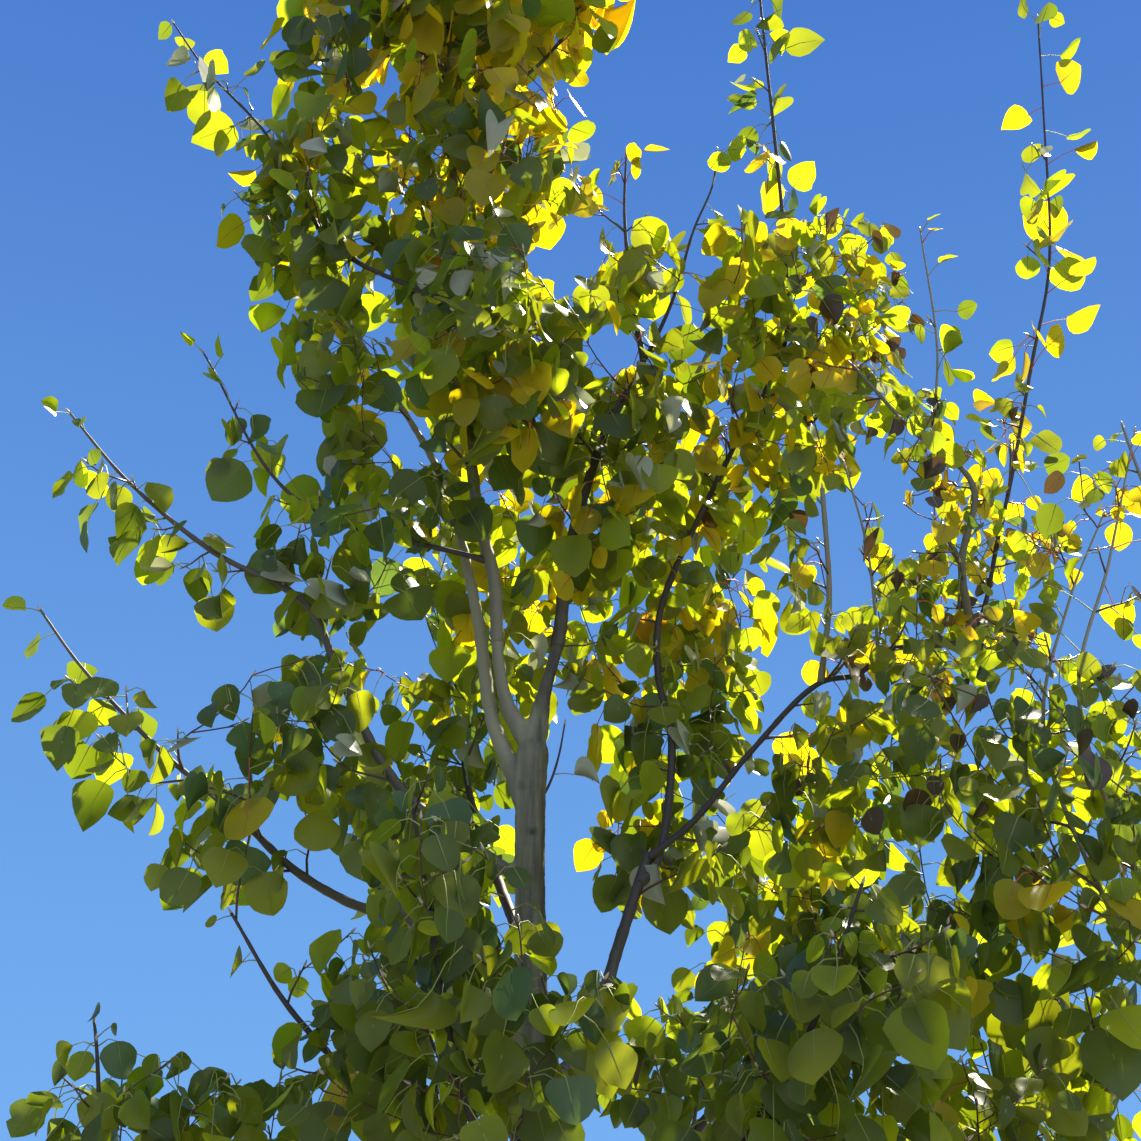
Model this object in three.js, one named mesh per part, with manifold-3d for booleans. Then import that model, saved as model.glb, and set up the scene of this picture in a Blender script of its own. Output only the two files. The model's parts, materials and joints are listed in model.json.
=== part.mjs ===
// A young poplar in early autumn: a smooth trunk that forks, ascending boughs, and
// masses of leaves with open sky between them. Millimetres, +Z up. The origin is the
// middle of the flat cut under the trunk, at ground level. +X is the right-hand side
// of the front view and +Y points away from it.
import * as THREE from "three";
import { mergeVertices } from "three/addons/utils/BufferGeometryUtils.js";
import Module from "manifold-3d";

const wasm = await Module();
wasm.setup();

// Driving dimensions
const TRUNK_BUTT = 92; // diameter of the trunk above its root flare
const TRUNK_TOP = 42; // diameter under the fork
const FORK_SWELL = 7; // how much wider the trunk grows into the fork
const FORK_SWELL_HEIGHT = 110;
const FLARE = 0.62; // how much the roots widen the foot, as a share of the radius
const FLARE_HEIGHT = 95; // the flare falls to a third over this height
const ROOTS = 5; // ridges where roots go into the ground
const ROOT_DEPTH = 0.13;
const SINK = 6; // how far the trunk runs on below the ground before its flat cut
const LIMB_GAP = 0.5; // between a limb and what it meets
const MASS_GAP = 1.2; // between two masses of leaves
const TAPER = 1.05; // a limb thins a little faster near its butt

// Detail of the faceted solids
const TRUNK_SIDES = 15;
const TRUNK_STEPS = 14;
const LIMB_SIDES = 6;
const LIMB_STEP = 128; // length of limb to each ring of facets
const MASS_FACETS = { sides: 10, rings: 7 };
const SHOOT_FACETS = { sides: 8, rings: 6 }; // for masses thinner than SHOOT_THICK
const SHOOT_THICK = 160;

const BARK = { color: 0x8f8d78, roughness: 0.8, metalness: 0 };
const YOUNG_BARK = { color: 0x6f6354, roughness: 0.75, metalness: 0 };
const LEAF_SHADE = { color: 0x5c6a26, roughness: 0.6, metalness: 0 };
const LEAF_LIGHT = { color: 0x9aa52a, roughness: 0.6, metalness: 0 };
const LEAF_GOLD = { color: 0xc9a81c, roughness: 0.6, metalness: 0 };

// Every limb is a row of nearly straight stretches, as the tree grew it year by year:
// [length, heading, rise]. A heading of 0 is to the right, 90 away from the front and
// 180 to the left. A rise of 90 is straight up. A limb starts on its carrier, `at` mm
// along it. The trunk starts at the origin.
const LIMBS = {
  trunk: {
    stretches: [
      [800, 0, 88.6], [560, 0, 89.2], [280, 180, 89], [110, 180, 82],
      [190, 180, 88], [190, 180, 89.5], [80, 0, 85],
    ],
  },
  leader_left: {
    carrier: "trunk", at: 2180, butt: 22, tip: 4,
    stretches: [
      [85, 176, 62], [73, 172, 78], [137, 168, 86], [97, 174, 76], [250, 172, 82],
      [390, 170, 86], [460, 172, 87], [500, 20, 88], [520, 350, 89],
    ],
  },
  leader_right: {
    carrier: "trunk", at: 2180, butt: 25, tip: 3.5,
    stretches: [
      [90, 40, 78], [130, 50, 72], [117, 27, 84], [152, 10, 77], [169, 6, 71],
      [67, 8, 52], [160, 143, 84], [200, 120, 84], [150, 44, 87],
    ],
  },
  stem_pale: {
    carrier: "trunk", at: 2080, butt: 26, tip: 5,
    stretches: [
      [110, 158, 68], [60, 150, 66], [200, 145, 79], [250, 155, 74], [200, 165, 62],
      [200, 172, 60],
    ],
  },
  bough_upper_left: {
    carrier: "trunk", at: 1975, butt: 20, tip: 3.5,
    stretches: [
      [240, 184, 36], [208, 193, 60], [115, 197, 62], [175, 186, 29], [180, 187, 39],
      [152, 189, 48],
    ],
  },
  bough_lower_left: {
    carrier: "trunk", at: 1728, butt: 20, tip: 3.5,
    stretches: [
      [110, 191, 50], [190, 185, 42], [30, 190, -10], [110, 193, 24], [130, 193, 40],
      [150, 190, 38], [170, 191, 44], [105, 200, 50],
    ],
  },
  bough_right: {
    carrier: "trunk", at: 1685, butt: 31, tip: 21,
    stretches: [[50, 13, 38], [50, 12, 54], [160, 20, 70], [135, 22, 70]],
  },
  bough_right_outer: {
    carrier: "bough_right", at: 385, butt: 16, tip: 3.5,
    stretches: [
      [96, 342, 36], [130, 345, 48], [150, 343, 42], [62, 350, 11], [57, 346, 36],
      [130, 5, 12], [195, 10, 68], [330, 5, 74], [200, 0, 75], [330, 0, 85],
      [215, 0, 86],
    ],
  },
  bough_right_upright: {
    carrier: "bough_right", at: 345, butt: 16, tip: 3.5,
    stretches: [
      [44, 14, 49], [206, 28, 81], [97, 140, 77], [85, 97, 85], [75, 25, 77],
      [290, 345, 64], [200, 350, 63], [150, 0, 85], [570, 180, 88.5], [330, 180, 88.5],
    ],
  },
  bough_low_left: {
    carrier: "trunk", at: 1500, butt: 19, tip: 4,
    stretches: [[120, 203, 34], [170, 212, 32], [180, 200, 42], [150, 190, 55]],
  },
  bough_bottom_left: {
    carrier: "trunk", at: 1130, butt: 23, tip: 4,
    stretches: [[260, 196, 32], [250, 198, 38], [170, 196, 35], [250, 190, 76]],
  },
  bough_front: {
    carrier: "trunk", at: 1300, butt: 21, tip: 4,
    stretches: [[220, 262, 34], [180, 258, 42], [150, 220, 66], [340, 176, 78]],
  },
  bough_front_right: {
    carrier: "trunk", at: 1270, butt: 22, tip: 4,
    stretches: [[250, 305, 38], [250, 306, 40], [220, 303, 42], [160, 310, 60]],
  },
  bough_far_right: {
    carrier: "trunk", at: 1215, butt: 24, tip: 4,
    stretches: [
      [300, 335, 27], [320, 338, 28], [250, 338, 38], [200, 345, 62], [360, 10, 72],
      [450, 110, 80],
    ],
  },
  bough_back_left: {
    carrier: "trunk", at: 1580, butt: 22, tip: 4,
    stretches: [[240, 132, 40], [250, 128, 48], [250, 134, 56], [200, 128, 66]],
  },
  bough_back_right: {
    carrier: "trunk", at: 1440, butt: 23, tip: 4,
    stretches: [[280, 36, 36], [280, 40, 42], [260, 34, 52], [220, 40, 66]],
  },
  bough_back: {
    carrier: "trunk", at: 1860, butt: 19, tip: 4,
    stretches: [[200, 112, 46], [220, 118, 55], [240, 108, 64], [200, 120, 70]],
  },
  bough_back_low: {
    carrier: "trunk", at: 1180, butt: 21, tip: 4,
    stretches: [[240, 96, 30], [230, 100, 36], [180, 92, 48]],
  },
};

// Long shoots that stay inside the leaves. They only give their masses a place.
const SHOOTS = {
  shoot_mid_left: {
    carrier: "leader_left", at: 330,
    stretches: [[320, 190, 15], [325, 180, 57]],
  },
  shoot_top_left: {
    carrier: "leader_left", at: 820,
    stretches: [
      [250, 182, 28], [170, 185, 60], [110, 190, 58], [170, 188, 48], [115, 188, 56],
    ],
  },
  shoot_right: {
    carrier: "leader_right", at: 560,
    stretches: [[320, 5, 66], [166, 0, 74], [105, 0, 69], [78, 0, 82]],
  },
  shoot_top_right: {
    carrier: "leader_left", at: 1250,
    stretches: [[200, 20, 40], [250, 25, 62], [250, 15, 72]],
  },
};

// Each mass lies along a stretch of a limb, `from` to `to` mm from the limb's start,
// and runs on `beyond` mm past both ends together. `out` shifts it sideways towards
// `heading`, and `drop` lowers it, as leaves hang. `thick` is its size towards that
// heading, or upright where there is no heading, and `wide` is its other size.
// Masses that come first keep their shape, and later ones are cut round them.
const MASSES = {
  leaves_upper_left_tip: {
    on: "bough_upper_left", from: 640, to: 1065, beyond: 50, thick: 160, wide: 180,
    drop: 55, tint: LEAF_SHADE,
  },
  leaves_left_middle: {
    on: "bough_upper_left", from: 470, to: 590, beyond: 190, thick: 240, wide: 260,
    out: 25, heading: 0, drop: -120, tint: LEAF_SHADE,
  },
  leaves_mid_left_shoot: {
    on: "shoot_mid_left", from: 360, to: 645, beyond: 20, thick: 120, wide: 130,
    drop: 20, tint: LEAF_SHADE,
  },
  leaves_left_high: {
    on: "leader_left", from: 480, to: 800, beyond: 60, thick: 270, wide: 270,
    out: 225, heading: 180, tint: LEAF_SHADE,
  },
  leaves_top_left: {
    on: "leader_left", from: 860, to: 1230, beyond: 80, thick: 250, wide: 290,
    out: 250, heading: 183, tint: LEAF_SHADE,
  },
  leaves_top_left_shoot: {
    on: "shoot_top_left", from: 440, to: 815, beyond: 10, thick: 130, wide: 150,
    drop: 25, tint: LEAF_SHADE,
  },
  leaves_lower_left_tip: {
    on: "bough_lower_left", from: 640, to: 995, beyond: 20, thick: 130, wide: 150,
    drop: 65, tint: LEAF_SHADE,
  },
  leaves_lower_left: {
    on: "bough_lower_left", from: 440, to: 760, beyond: 40, thick: 270, wide: 240,
    drop: 5, tint: LEAF_SHADE,
  },
  leaves_left_front: {
    on: "bough_upper_left", from: 60, to: 350, beyond: 60, thick: 240, wide: 270,
    out: 235, heading: 204, drop: -40, tint: LEAF_LIGHT,
  },
  leaves_centre_back: {
    on: "leader_left", from: 150, to: 550, beyond: 80, thick: 230, wide: 370,
    out: 170, heading: 80, tint: LEAF_LIGHT,
  },
  leaves_centre_high: {
    on: "leader_left", from: 480, to: 800, beyond: 60, thick: 330, wide: 330,
    out: 60, heading: 350, tint: LEAF_LIGHT,
  },
  leaves_top_centre: {
    on: "leader_left", from: 840, to: 1320, beyond: 120, thick: 430, wide: 370,
    out: 55, heading: 0, tint: LEAF_GOLD,
  },
  leaves_right_column: {
    on: "leader_right", from: 330, to: 850, beyond: 80, thick: 290, wide: 340,
    out: 20, heading: 0, tint: LEAF_LIGHT,
  },
  leaves_right_leader_tip: {
    on: "leader_right", from: 800, to: 1225, beyond: 20, thick: 150, wide: 170,
    tint: LEAF_GOLD,
  },
  leaves_right_high: {
    on: "bough_right_upright", from: 610, to: 1330, beyond: 60, thick: 380, wide: 320,
    out: 110, heading: 0, tint: LEAF_GOLD,
  },
  leaves_tall_shoot: {
    on: "bough_right_upright", from: 1270, to: 2010, beyond: 10, thick: 130, wide: 140,
    tint: LEAF_GOLD,
  },
  leaves_right_shoot: {
    on: "shoot_right", from: 240, to: 640, beyond: 20, thick: 140, wide: 150,
    tint: LEAF_LIGHT,
  },
  leaves_right_middle: {
    on: "bough_right_upright", from: 205, to: 570, beyond: 60, thick: 290, wide: 330,
    out: 80, heading: 75, tint: LEAF_LIGHT,
  },
  leaves_right_inner: {
    on: "bough_right", from: 300, to: 380, beyond: 190, thick: 250, wide: 270,
    out: 170, heading: 75, drop: -130, tint: LEAF_LIGHT,
  },
  leaves_right_outer: {
    on: "bough_right_outer", from: 500, to: 990, beyond: 60, thick: 400, wide: 340,
    out: 90, heading: 180, tint: LEAF_LIGHT,
  },
  leaves_right_hanging: {
    on: "bough_right_outer", from: 230, to: 600, beyond: 40, thick: 320, wide: 300,
    drop: 105, tint: LEAF_SHADE,
  },
  leaves_far_right_shoot: {
    on: "bough_right_outer", from: 1030, to: 1890, beyond: 20, thick: 120, wide: 130,
    tint: LEAF_LIGHT,
  },
  leaves_low_left: {
    on: "bough_low_left", from: 230, to: 540, beyond: 70, thick: 250, wide: 290,
    out: 60, heading: 0, drop: -35, tint: LEAF_SHADE,
  },
  leaves_bottom_left: {
    on: "bough_bottom_left", from: 330, to: 930, beyond: 50, thick: 330, wide: 290,
    out: 20, heading: 185, drop: -30, tint: LEAF_SHADE,
  },
  leaves_front: {
    on: "bough_front", from: 380, to: 885, beyond: 50, thick: 290, wide: 330,
    out: 10, heading: 0, tint: LEAF_SHADE,
  },
  leaves_front_skirt: {
    on: "bough_front", from: 190, to: 380, beyond: 90, thick: 200, wide: 330,
    drop: 50, tint: LEAF_SHADE,
  },
  leaves_front_right: {
    on: "bough_front_right", from: 420, to: 870, beyond: 60, thick: 300, wide: 350,
    out: 35, heading: 0, tint: LEAF_LIGHT,
  },
  leaves_far_right_low: {
    on: "bough_far_right", from: 480, to: 940, beyond: 40, thick: 340, wide: 350,
    drop: -40, tint: LEAF_SHADE,
  },
  leaves_far_right: {
    on: "bough_far_right", from: 920, to: 1530, beyond: 60, thick: 430, wide: 330,
    out: 100, heading: 180, tint: LEAF_SHADE,
  },
  leaves_right_edge: {
    on: "bough_far_right", from: 1540, to: 1870, beyond: 20, thick: 155, wide: 170,
    out: 70, heading: 180, tint: LEAF_LIGHT,
  },
  leaves_low_right: {
    on: "bough_right", from: 60, to: 160, beyond: 140, thick: 220, wide: 270,
    out: 150, heading: 45, drop: 5, tint: LEAF_LIGHT,
  },
  leaves_back_left: {
    on: "bough_back_left", from: 420, to: 900, beyond: 40, thick: 310, wide: 340,
    out: 75, heading: 0, drop: -40, tint: LEAF_SHADE,
  },
  leaves_back_right: {
    on: "bough_back_right", from: 430, to: 1010, beyond: 50, thick: 330, wide: 390,
    tint: LEAF_LIGHT,
  },
  leaves_back: {
    on: "bough_back", from: 400, to: 840, beyond: 50, thick: 280, wide: 300,
    tint: LEAF_LIGHT,
  },
  leaves_back_low: {
    on: "bough_back_low", from: 270, to: 650, beyond: 90, thick: 310, wide: 430,
    tint: LEAF_SHADE,
  },
  leaves_back_high: {
    on: "leader_left", from: 780, to: 1200, beyond: 60, thick: 270, wide: 340,
    out: 280, heading: 90, tint: LEAF_LIGHT,
  },
  leaves_back_right_high: {
    on: "leader_right", from: 260, to: 680, beyond: 50, thick: 280, wide: 330,
    out: 250, heading: 50, tint: LEAF_LIGHT,
  },
  leaves_front_high: {
    on: "leader_left", from: 400, to: 900, beyond: 40, thick: 220, wide: 330,
    out: 230, heading: 280, tint: LEAF_SHADE,
  },
  leaves_crown: {
    on: "leader_left", from: 1320, to: 1800, beyond: 90, thick: 400, wide: 430,
    tint: LEAF_GOLD,
  },
  leaves_crown_left: {
    on: "leader_left", from: 1240, to: 1560, beyond: 60, thick: 200, wide: 260,
    out: 230, heading: 185, tint: LEAF_LIGHT,
  },
  leaves_crown_right: {
    on: "shoot_top_right", from: 220, to: 690, beyond: 30, thick: 190, wide: 210,
    tint: LEAF_GOLD,
  },
  leaves_crown_tip: {
    on: "leader_left", from: 1770, to: 2510, beyond: 40, thick: 250, wide: 260,
    tint: LEAF_GOLD,
  },
};

// Directions and seeded chance
const radians = THREE.MathUtils.degToRad;

function direction(heading, rise) {
  const flat = Math.cos(radians(rise));
  return new THREE.Vector3(
    flat * Math.cos(radians(heading)),
    flat * Math.sin(radians(heading)),
    Math.sin(radians(rise)),
  );
}

function chance(seed) {
  let state = seed * 2654435761;
  return () => {
    state = (state + 0x6d2b79f5) | 0;
    let mixed = Math.imul(state ^ (state >>> 15), 1 | state);
    mixed = (mixed + Math.imul(mixed ^ (mixed >>> 7), 61 | mixed)) ^ mixed;
    return ((mixed ^ (mixed >>> 14)) >>> 0) / 4294967296;
  };
}

// Centre lines
const paths = {};

function pathOf(name) {
  if (paths[name]) return paths[name];
  const limb = LIMBS[name] ?? SHOOTS[name];
  const start = limb.carrier
    ? pointOn(limb.carrier, limb.at)
    : new THREE.Vector3();
  const points = [start];
  for (const [length, heading, rise] of limb.stretches) {
    points.push(points.at(-1).clone().addScaledVector(direction(heading, rise), length));
  }
  paths[name] = new THREE.CatmullRomCurve3(points, false, "centripetal");
  return paths[name];
}

function pointOn(name, distance) {
  const path = pathOf(name);
  return path.getPointAt(Math.min(1, distance / path.getLength()));
}

// Solids
function solidOf(geometry) {
  geometry.deleteAttribute("normal");
  geometry.deleteAttribute("uv");
  const merged = mergeVertices(geometry, 1e-4);
  return new wasm.Manifold(new wasm.Mesh({
    numProp: 3,
    vertProperties: new Float32Array(merged.attributes.position.array),
    triVerts: new Uint32Array(merged.index.array),
  }));
}

function geometryOf(solid) {
  const mesh = solid.getMesh();
  const geometry = new THREE.BufferGeometry();
  geometry.setAttribute("position", new THREE.BufferAttribute(mesh.vertProperties, 3));
  geometry.setIndex(new THREE.BufferAttribute(mesh.triVerts, 1));
  geometry.computeVertexNormals();
  return geometry;
}

// A cylinder bent along a centre line. radiusAt(share of length, angle) gives its
// radius, `grow` makes it that much larger all round and at both ends, and `sink`
// draws its foot down by that much more.
function bent(path, sides, steps, radiusAt, grow, sink = 0) {
  const tube = new THREE.CylinderGeometry(1, 1, 1, sides, steps);
  const frames = path.computeFrenetFrames(steps);
  const position = tube.attributes.position;
  const spot = new THREE.Vector3();
  for (let i = 0; i < position.count; i += 1) {
    const share = 0.5 - position.getY(i);
    const ring = Math.round(share * steps);
    const away = Math.hypot(position.getX(i), position.getZ(i));
    const angle = Math.atan2(position.getZ(i), position.getX(i));
    const radius = away < 0.5 ? 0 : radiusAt(share, angle) + grow;
    spot.copy(path.getPointAt(share));
    spot.addScaledVector(frames.normals[ring], radius * Math.cos(angle));
    spot.addScaledVector(frames.binormals[ring], radius * Math.sin(angle));
    if (ring === 0) spot.addScaledVector(frames.tangents[ring], -grow - sink);
    if (ring === steps) spot.addScaledVector(frames.tangents[ring], grow);
    position.setXYZ(i, spot.x, spot.y, spot.z);
  }
  return solidOf(tube);
}

const GROUND_SIZE = 400; // of the block that cuts the trunk off flat at ground level

function trunkSolid(grow) {
  const path = pathOf("trunk");
  const length = path.getLength();
  const radiusAt = (share, angle) => {
    const up = share * length;
    const down = length - up;
    const plain = THREE.MathUtils.lerp(TRUNK_BUTT, TRUNK_TOP, share ** 0.85) / 2;
    const swell = FORK_SWELL / 2 * Math.exp(-((down / FORK_SWELL_HEIGHT) ** 2));
    const flare = Math.exp(-up / FLARE_HEIGHT);
    const ridge = 1 + ROOT_DEPTH * Math.cos(ROOTS * angle);
    return (plain + swell) * (1 + FLARE * flare * ridge);
  };
  const ground = new THREE.BoxGeometry(GROUND_SIZE, GROUND_SIZE, GROUND_SIZE);
  ground.translate(0, 0, -GROUND_SIZE / 2);
  const trunk = bent(path, TRUNK_SIDES, TRUNK_STEPS, radiusAt, grow, SINK);
  return trunk.subtract(solidOf(ground));
}

function limbSolid(name, grow) {
  const { butt, tip } = LIMBS[name];
  const path = pathOf(name);
  const steps = Math.ceil(path.getLength() / LIMB_STEP);
  const radiusAt = (share) => (tip + (butt - tip) * (1 - share) ** TAPER) / 2;
  return bent(path, LIMB_SIDES, steps, radiusAt, grow);
}

// A mass of leaves is a ball drawn out along its limb, with lobes where sprays stand
// proud and hollows between them.
const LOBES = 9;
const LOBE_HEIGHT = 0.30;
const LOBE_WIDTH = 0.55;
const HOLLOW = 0.86; // the ball's size before its lobes are added

function massSolid(name, grow) {
  const mass = MASSES[name];
  const { on, from, to, beyond, thick, wide, out = 0, heading, drop = 0 } = mass;
  const start = pointOn(on, from);
  const end = pointOn(on, to);
  const along = end.clone().sub(start).normalize();
  const side = heading === undefined
    ? new THREE.Vector3(0, 0, 1)
    : direction(heading, 0);
  const centre = start.clone().lerp(end, 0.5);
  if (out) centre.addScaledVector(side, out);
  centre.z -= drop;
  side.addScaledVector(along, -side.dot(along)).normalize();
  const across = new THREE.Vector3().crossVectors(along, side);
  const half = [(start.distanceTo(end) + beyond) / 2, thick / 2, wide / 2];
  const random = chance(Object.keys(MASSES).indexOf(name) + 11);
  const lobes = Array.from({ length: LOBES }, () => direction(
    360 * random(),
    THREE.MathUtils.radToDeg(Math.asin(2 * random() - 1)),
  ));
  const facets = thick < SHOOT_THICK ? SHOOT_FACETS : MASS_FACETS;
  const ball = new THREE.SphereGeometry(1, facets.sides, facets.rings);
  const position = ball.attributes.position;
  const spot = new THREE.Vector3();
  for (let i = 0; i < position.count; i += 1) {
    const normal = new THREE.Vector3().fromBufferAttribute(position, i).normalize();
    let size = HOLLOW;
    for (const lobe of lobes) {
      const away = normal.angleTo(lobe) / LOBE_WIDTH;
      size = Math.max(size, HOLLOW + LOBE_HEIGHT * Math.exp(-away * away));
    }
    spot.copy(centre);
    spot.addScaledVector(along, normal.y * (half[0] * size + grow));
    spot.addScaledVector(side, normal.z * (half[1] * size + grow));
    spot.addScaledVector(across, normal.x * (half[2] * size + grow));
    position.setXYZ(i, spot.x, spot.y, spot.z);
  }
  return solidOf(ball);
}

// Of a solid that a cut left in pieces, the one that is nearest to a point, or else
// the largest.
function onePiece(solid, near) {
  const pieces = solid.decompose();
  const score = near
    ? (piece) => -distanceTo(piece, near)
    : (piece) => piece.volume();
  return pieces.reduce((best, piece) => (score(piece) > score(best) ? piece : best));
}

function distanceTo(solid, point) {
  const { vertProperties } = solid.getMesh();
  let nearest = Infinity;
  for (let i = 0; i < vertProperties.length; i += 3) {
    const spot = new THREE.Vector3().fromArray(vertProperties, i);
    nearest = Math.min(nearest, spot.distanceTo(point));
  }
  return nearest;
}

// The trunk and both leaders stay whole, and the masses are cut round them. Each
// bough is cut by the limbs before it and ends where it enters a mass.
const WHOLE = ["trunk", "leader_left", "leader_right"];
const solids = {};
const grown = {};

for (const name of Object.keys(LIMBS)) {
  const make = name === "trunk" ? trunkSolid : (grow) => limbSolid(name, grow);
  let solid = make(0);
  for (const earlier of Object.keys(solids)) solid = solid.subtract(grown[earlier]);
  solids[name] = solid;
  grown[name] = make(LIMB_GAP);
}

for (const name of Object.keys(MASSES)) {
  let solid = massSolid(name, 0);
  for (const stem of WHOLE) solid = solid.subtract(grown[stem]);
  for (const earlier of Object.keys(MASSES)) {
    if (earlier === name) break;
    solid = solid.subtract(grown[earlier]);
  }
  solids[name] = onePiece(solid);
  grown[name] = massSolid(name, MASS_GAP);
}

for (const name of Object.keys(LIMBS)) {
  if (name === "trunk") continue;
  let solid = solids[name];
  if (!WHOLE.includes(name)) {
    for (const mass of Object.keys(MASSES)) solid = solid.subtract(grown[mass]);
  }
  solids[name] = onePiece(solid, pointOn(name, 0));
}

// The tree
const tree = new THREE.Group();
for (const [name, solid] of Object.entries(solids)) {
  const thin = LIMBS[name]?.carrier?.startsWith("bough");
  const look = MASSES[name]?.tint ?? (thin ? YOUNG_BARK : BARK);
  const mesh = new THREE.Mesh(geometryOf(solid), new THREE.MeshStandardMaterial(look));
  mesh.name = name;
  tree.add(mesh);
}

export default tree;
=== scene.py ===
# %% [markdown]
# # A young poplar in early autumn
#
# The tree is built on a frame of plain solids: a trunk, two leaders, boughs and closed
# masses that stand for leaves. This lesson dresses that frame. The limbs get bark, and
# each mass is replaced by twigs and leaves that grow inside it by a seeded rule.
# Lengths are in metres unless a name or a comment says millimetres.

# %% Load the frame
import json
import math
from itertools import product

import bpy
import numpy as np
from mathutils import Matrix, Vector
from mathutils.bvhtree import BVHTree

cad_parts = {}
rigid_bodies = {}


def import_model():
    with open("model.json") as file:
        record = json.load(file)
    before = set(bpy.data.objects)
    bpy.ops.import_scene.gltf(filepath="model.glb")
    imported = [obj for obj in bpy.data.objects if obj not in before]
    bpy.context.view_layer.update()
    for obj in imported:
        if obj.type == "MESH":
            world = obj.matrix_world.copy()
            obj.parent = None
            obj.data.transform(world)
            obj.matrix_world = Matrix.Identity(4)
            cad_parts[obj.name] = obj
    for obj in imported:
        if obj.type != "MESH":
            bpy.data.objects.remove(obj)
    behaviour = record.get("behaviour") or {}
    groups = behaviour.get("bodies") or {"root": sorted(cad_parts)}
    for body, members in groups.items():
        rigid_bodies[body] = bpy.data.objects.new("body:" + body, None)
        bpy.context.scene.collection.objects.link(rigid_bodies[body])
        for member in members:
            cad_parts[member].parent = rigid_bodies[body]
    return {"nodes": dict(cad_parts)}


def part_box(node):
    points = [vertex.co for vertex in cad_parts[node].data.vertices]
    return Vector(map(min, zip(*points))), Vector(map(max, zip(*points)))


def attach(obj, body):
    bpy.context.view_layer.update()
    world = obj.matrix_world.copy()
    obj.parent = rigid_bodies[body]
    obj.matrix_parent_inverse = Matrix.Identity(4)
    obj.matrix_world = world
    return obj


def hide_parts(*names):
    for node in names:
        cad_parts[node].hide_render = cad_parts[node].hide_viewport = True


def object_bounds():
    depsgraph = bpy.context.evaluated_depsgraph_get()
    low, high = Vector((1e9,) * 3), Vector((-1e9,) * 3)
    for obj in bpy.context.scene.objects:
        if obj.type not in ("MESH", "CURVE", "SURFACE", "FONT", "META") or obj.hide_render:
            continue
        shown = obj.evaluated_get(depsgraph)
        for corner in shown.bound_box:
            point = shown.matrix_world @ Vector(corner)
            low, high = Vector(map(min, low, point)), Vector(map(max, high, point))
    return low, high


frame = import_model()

CAD_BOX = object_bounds()
MM = 0.001
UP = np.array([0.0, 0.0, 1.0])
print("frame", len(frame["nodes"]), "nodes, box", [[round(x, 3) for x in c] for c in CAD_BOX])

# %% [markdown]
# ## The photograph's view
#
# The photographer stood on the ground, 2.3 m from the trunk, and tilted the camera up.
# A camera object looks along its own -Z, so a quarter turn about X levels it towards
# +Y, and the rest of the turn tilts it up into the crown. The focal length is worked
# out from pixels, because only the whole photograph's width is known.

# %% Camera
PHOTO_WIDTH_PX = 1141
PHOTO_FOCAL_PX = 1567
EYE = (0.06, -2.30, 1.50)
LOOK_UP_DEG = 23.0
SENSOR_MM = 36.0

camera_data = bpy.data.cameras.new("camera")
camera_data.sensor_width = SENSOR_MM
camera_data.lens = SENSOR_MM * PHOTO_FOCAL_PX / PHOTO_WIDTH_PX
camera = bpy.data.objects.new("camera", camera_data)
camera.location = EYE
camera.rotation_euler = (math.radians(90 + LOOK_UP_DEG), 0, 0)
bpy.context.scene.collection.objects.link(camera)
bpy.context.scene.camera = camera
print("lens", round(camera_data.lens, 1), "mm")


def seen_at(points):
    """Where points of the tree show in the photograph, in pixels across and down."""
    offset = np.asarray(points) - EYE
    tilt = math.radians(LOOK_UP_DEG)
    ahead = offset[..., 1] * math.cos(tilt) + offset[..., 2] * math.sin(tilt)
    raised = offset[..., 2] * math.cos(tilt) - offset[..., 1] * math.sin(tilt)
    middle = PHOTO_WIDTH_PX / 2
    return np.stack([middle + PHOTO_FOCAL_PX * offset[..., 0] / ahead,
                     middle - PHOTO_FOCAL_PX * raised / ahead], axis=-1)


print("the fork shows at", seen_at([0.0, 0.0, 2.2]).round())

# %% [markdown]
# ## Colours and nodes
#
# Colours are written as they look on a screen, in sRGB hex. Shaders count in linear
# light, so one function turns them over. The render keeps to the plain Standard view,
# which leaves clear yellows and greens as they are. A second function adds a node, sets
# its values and makes its links, which keeps each material short enough to read. A Mix
# node for colours takes them at its inputs 6 and 7, and gives the mixture at output 2.

# %% Helpers for materials
bpy.context.scene.view_settings.view_transform = "Standard"


def linear(hex_colour):
    """An sRGB hex colour as linear red, green, blue and alpha."""
    channels = [int(hex_colour[i:i + 2], 16) / 255 for i in (1, 3, 5)]
    return [c / 12.92 if c <= 0.04045 else ((c + 0.055) / 1.055) ** 2.4 for c in channels] + [1.0]


def add(material, kind, inputs=None, **settings):
    """Adds a node. An input is a link, as (node, output), or a value. A setting may be a property too."""
    node = material.node_tree.nodes.new(kind)
    for name in [name for name in settings if hasattr(node, name)]:
        setattr(node, name, settings.pop(name))
    for name, value in {**settings, **(inputs or {})}.items():
        socket = node.inputs[name if isinstance(name, int) else name.replace("_", " ")]
        if isinstance(value, tuple) and hasattr(value[0], "outputs"):
            material.node_tree.links.new(value[0].outputs[value[1]], socket)
        else:
            socket.default_value = value
    return node


def new_material(name):
    material = bpy.data.materials.new(name)
    material.use_nodes = True
    material.node_tree.nodes.clear()
    return material


def show(material, shader):
    """Makes a shader the surface of a material."""
    add(material, "ShaderNodeOutputMaterial", {"Surface": (shader, 0)})
    return material


# %% [markdown]
# ## Light
#
# The sky is clear, pale near the ground and deeper above, and lights the shaded side of
# every leaf. The sun stands high behind the tree on the right. It rims the stems and
# shines through the leaves, and that glow is what makes a poplar look lit from inside. A
# weak and very wide lamp in front stands in for the light that the ground sends back.

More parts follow.
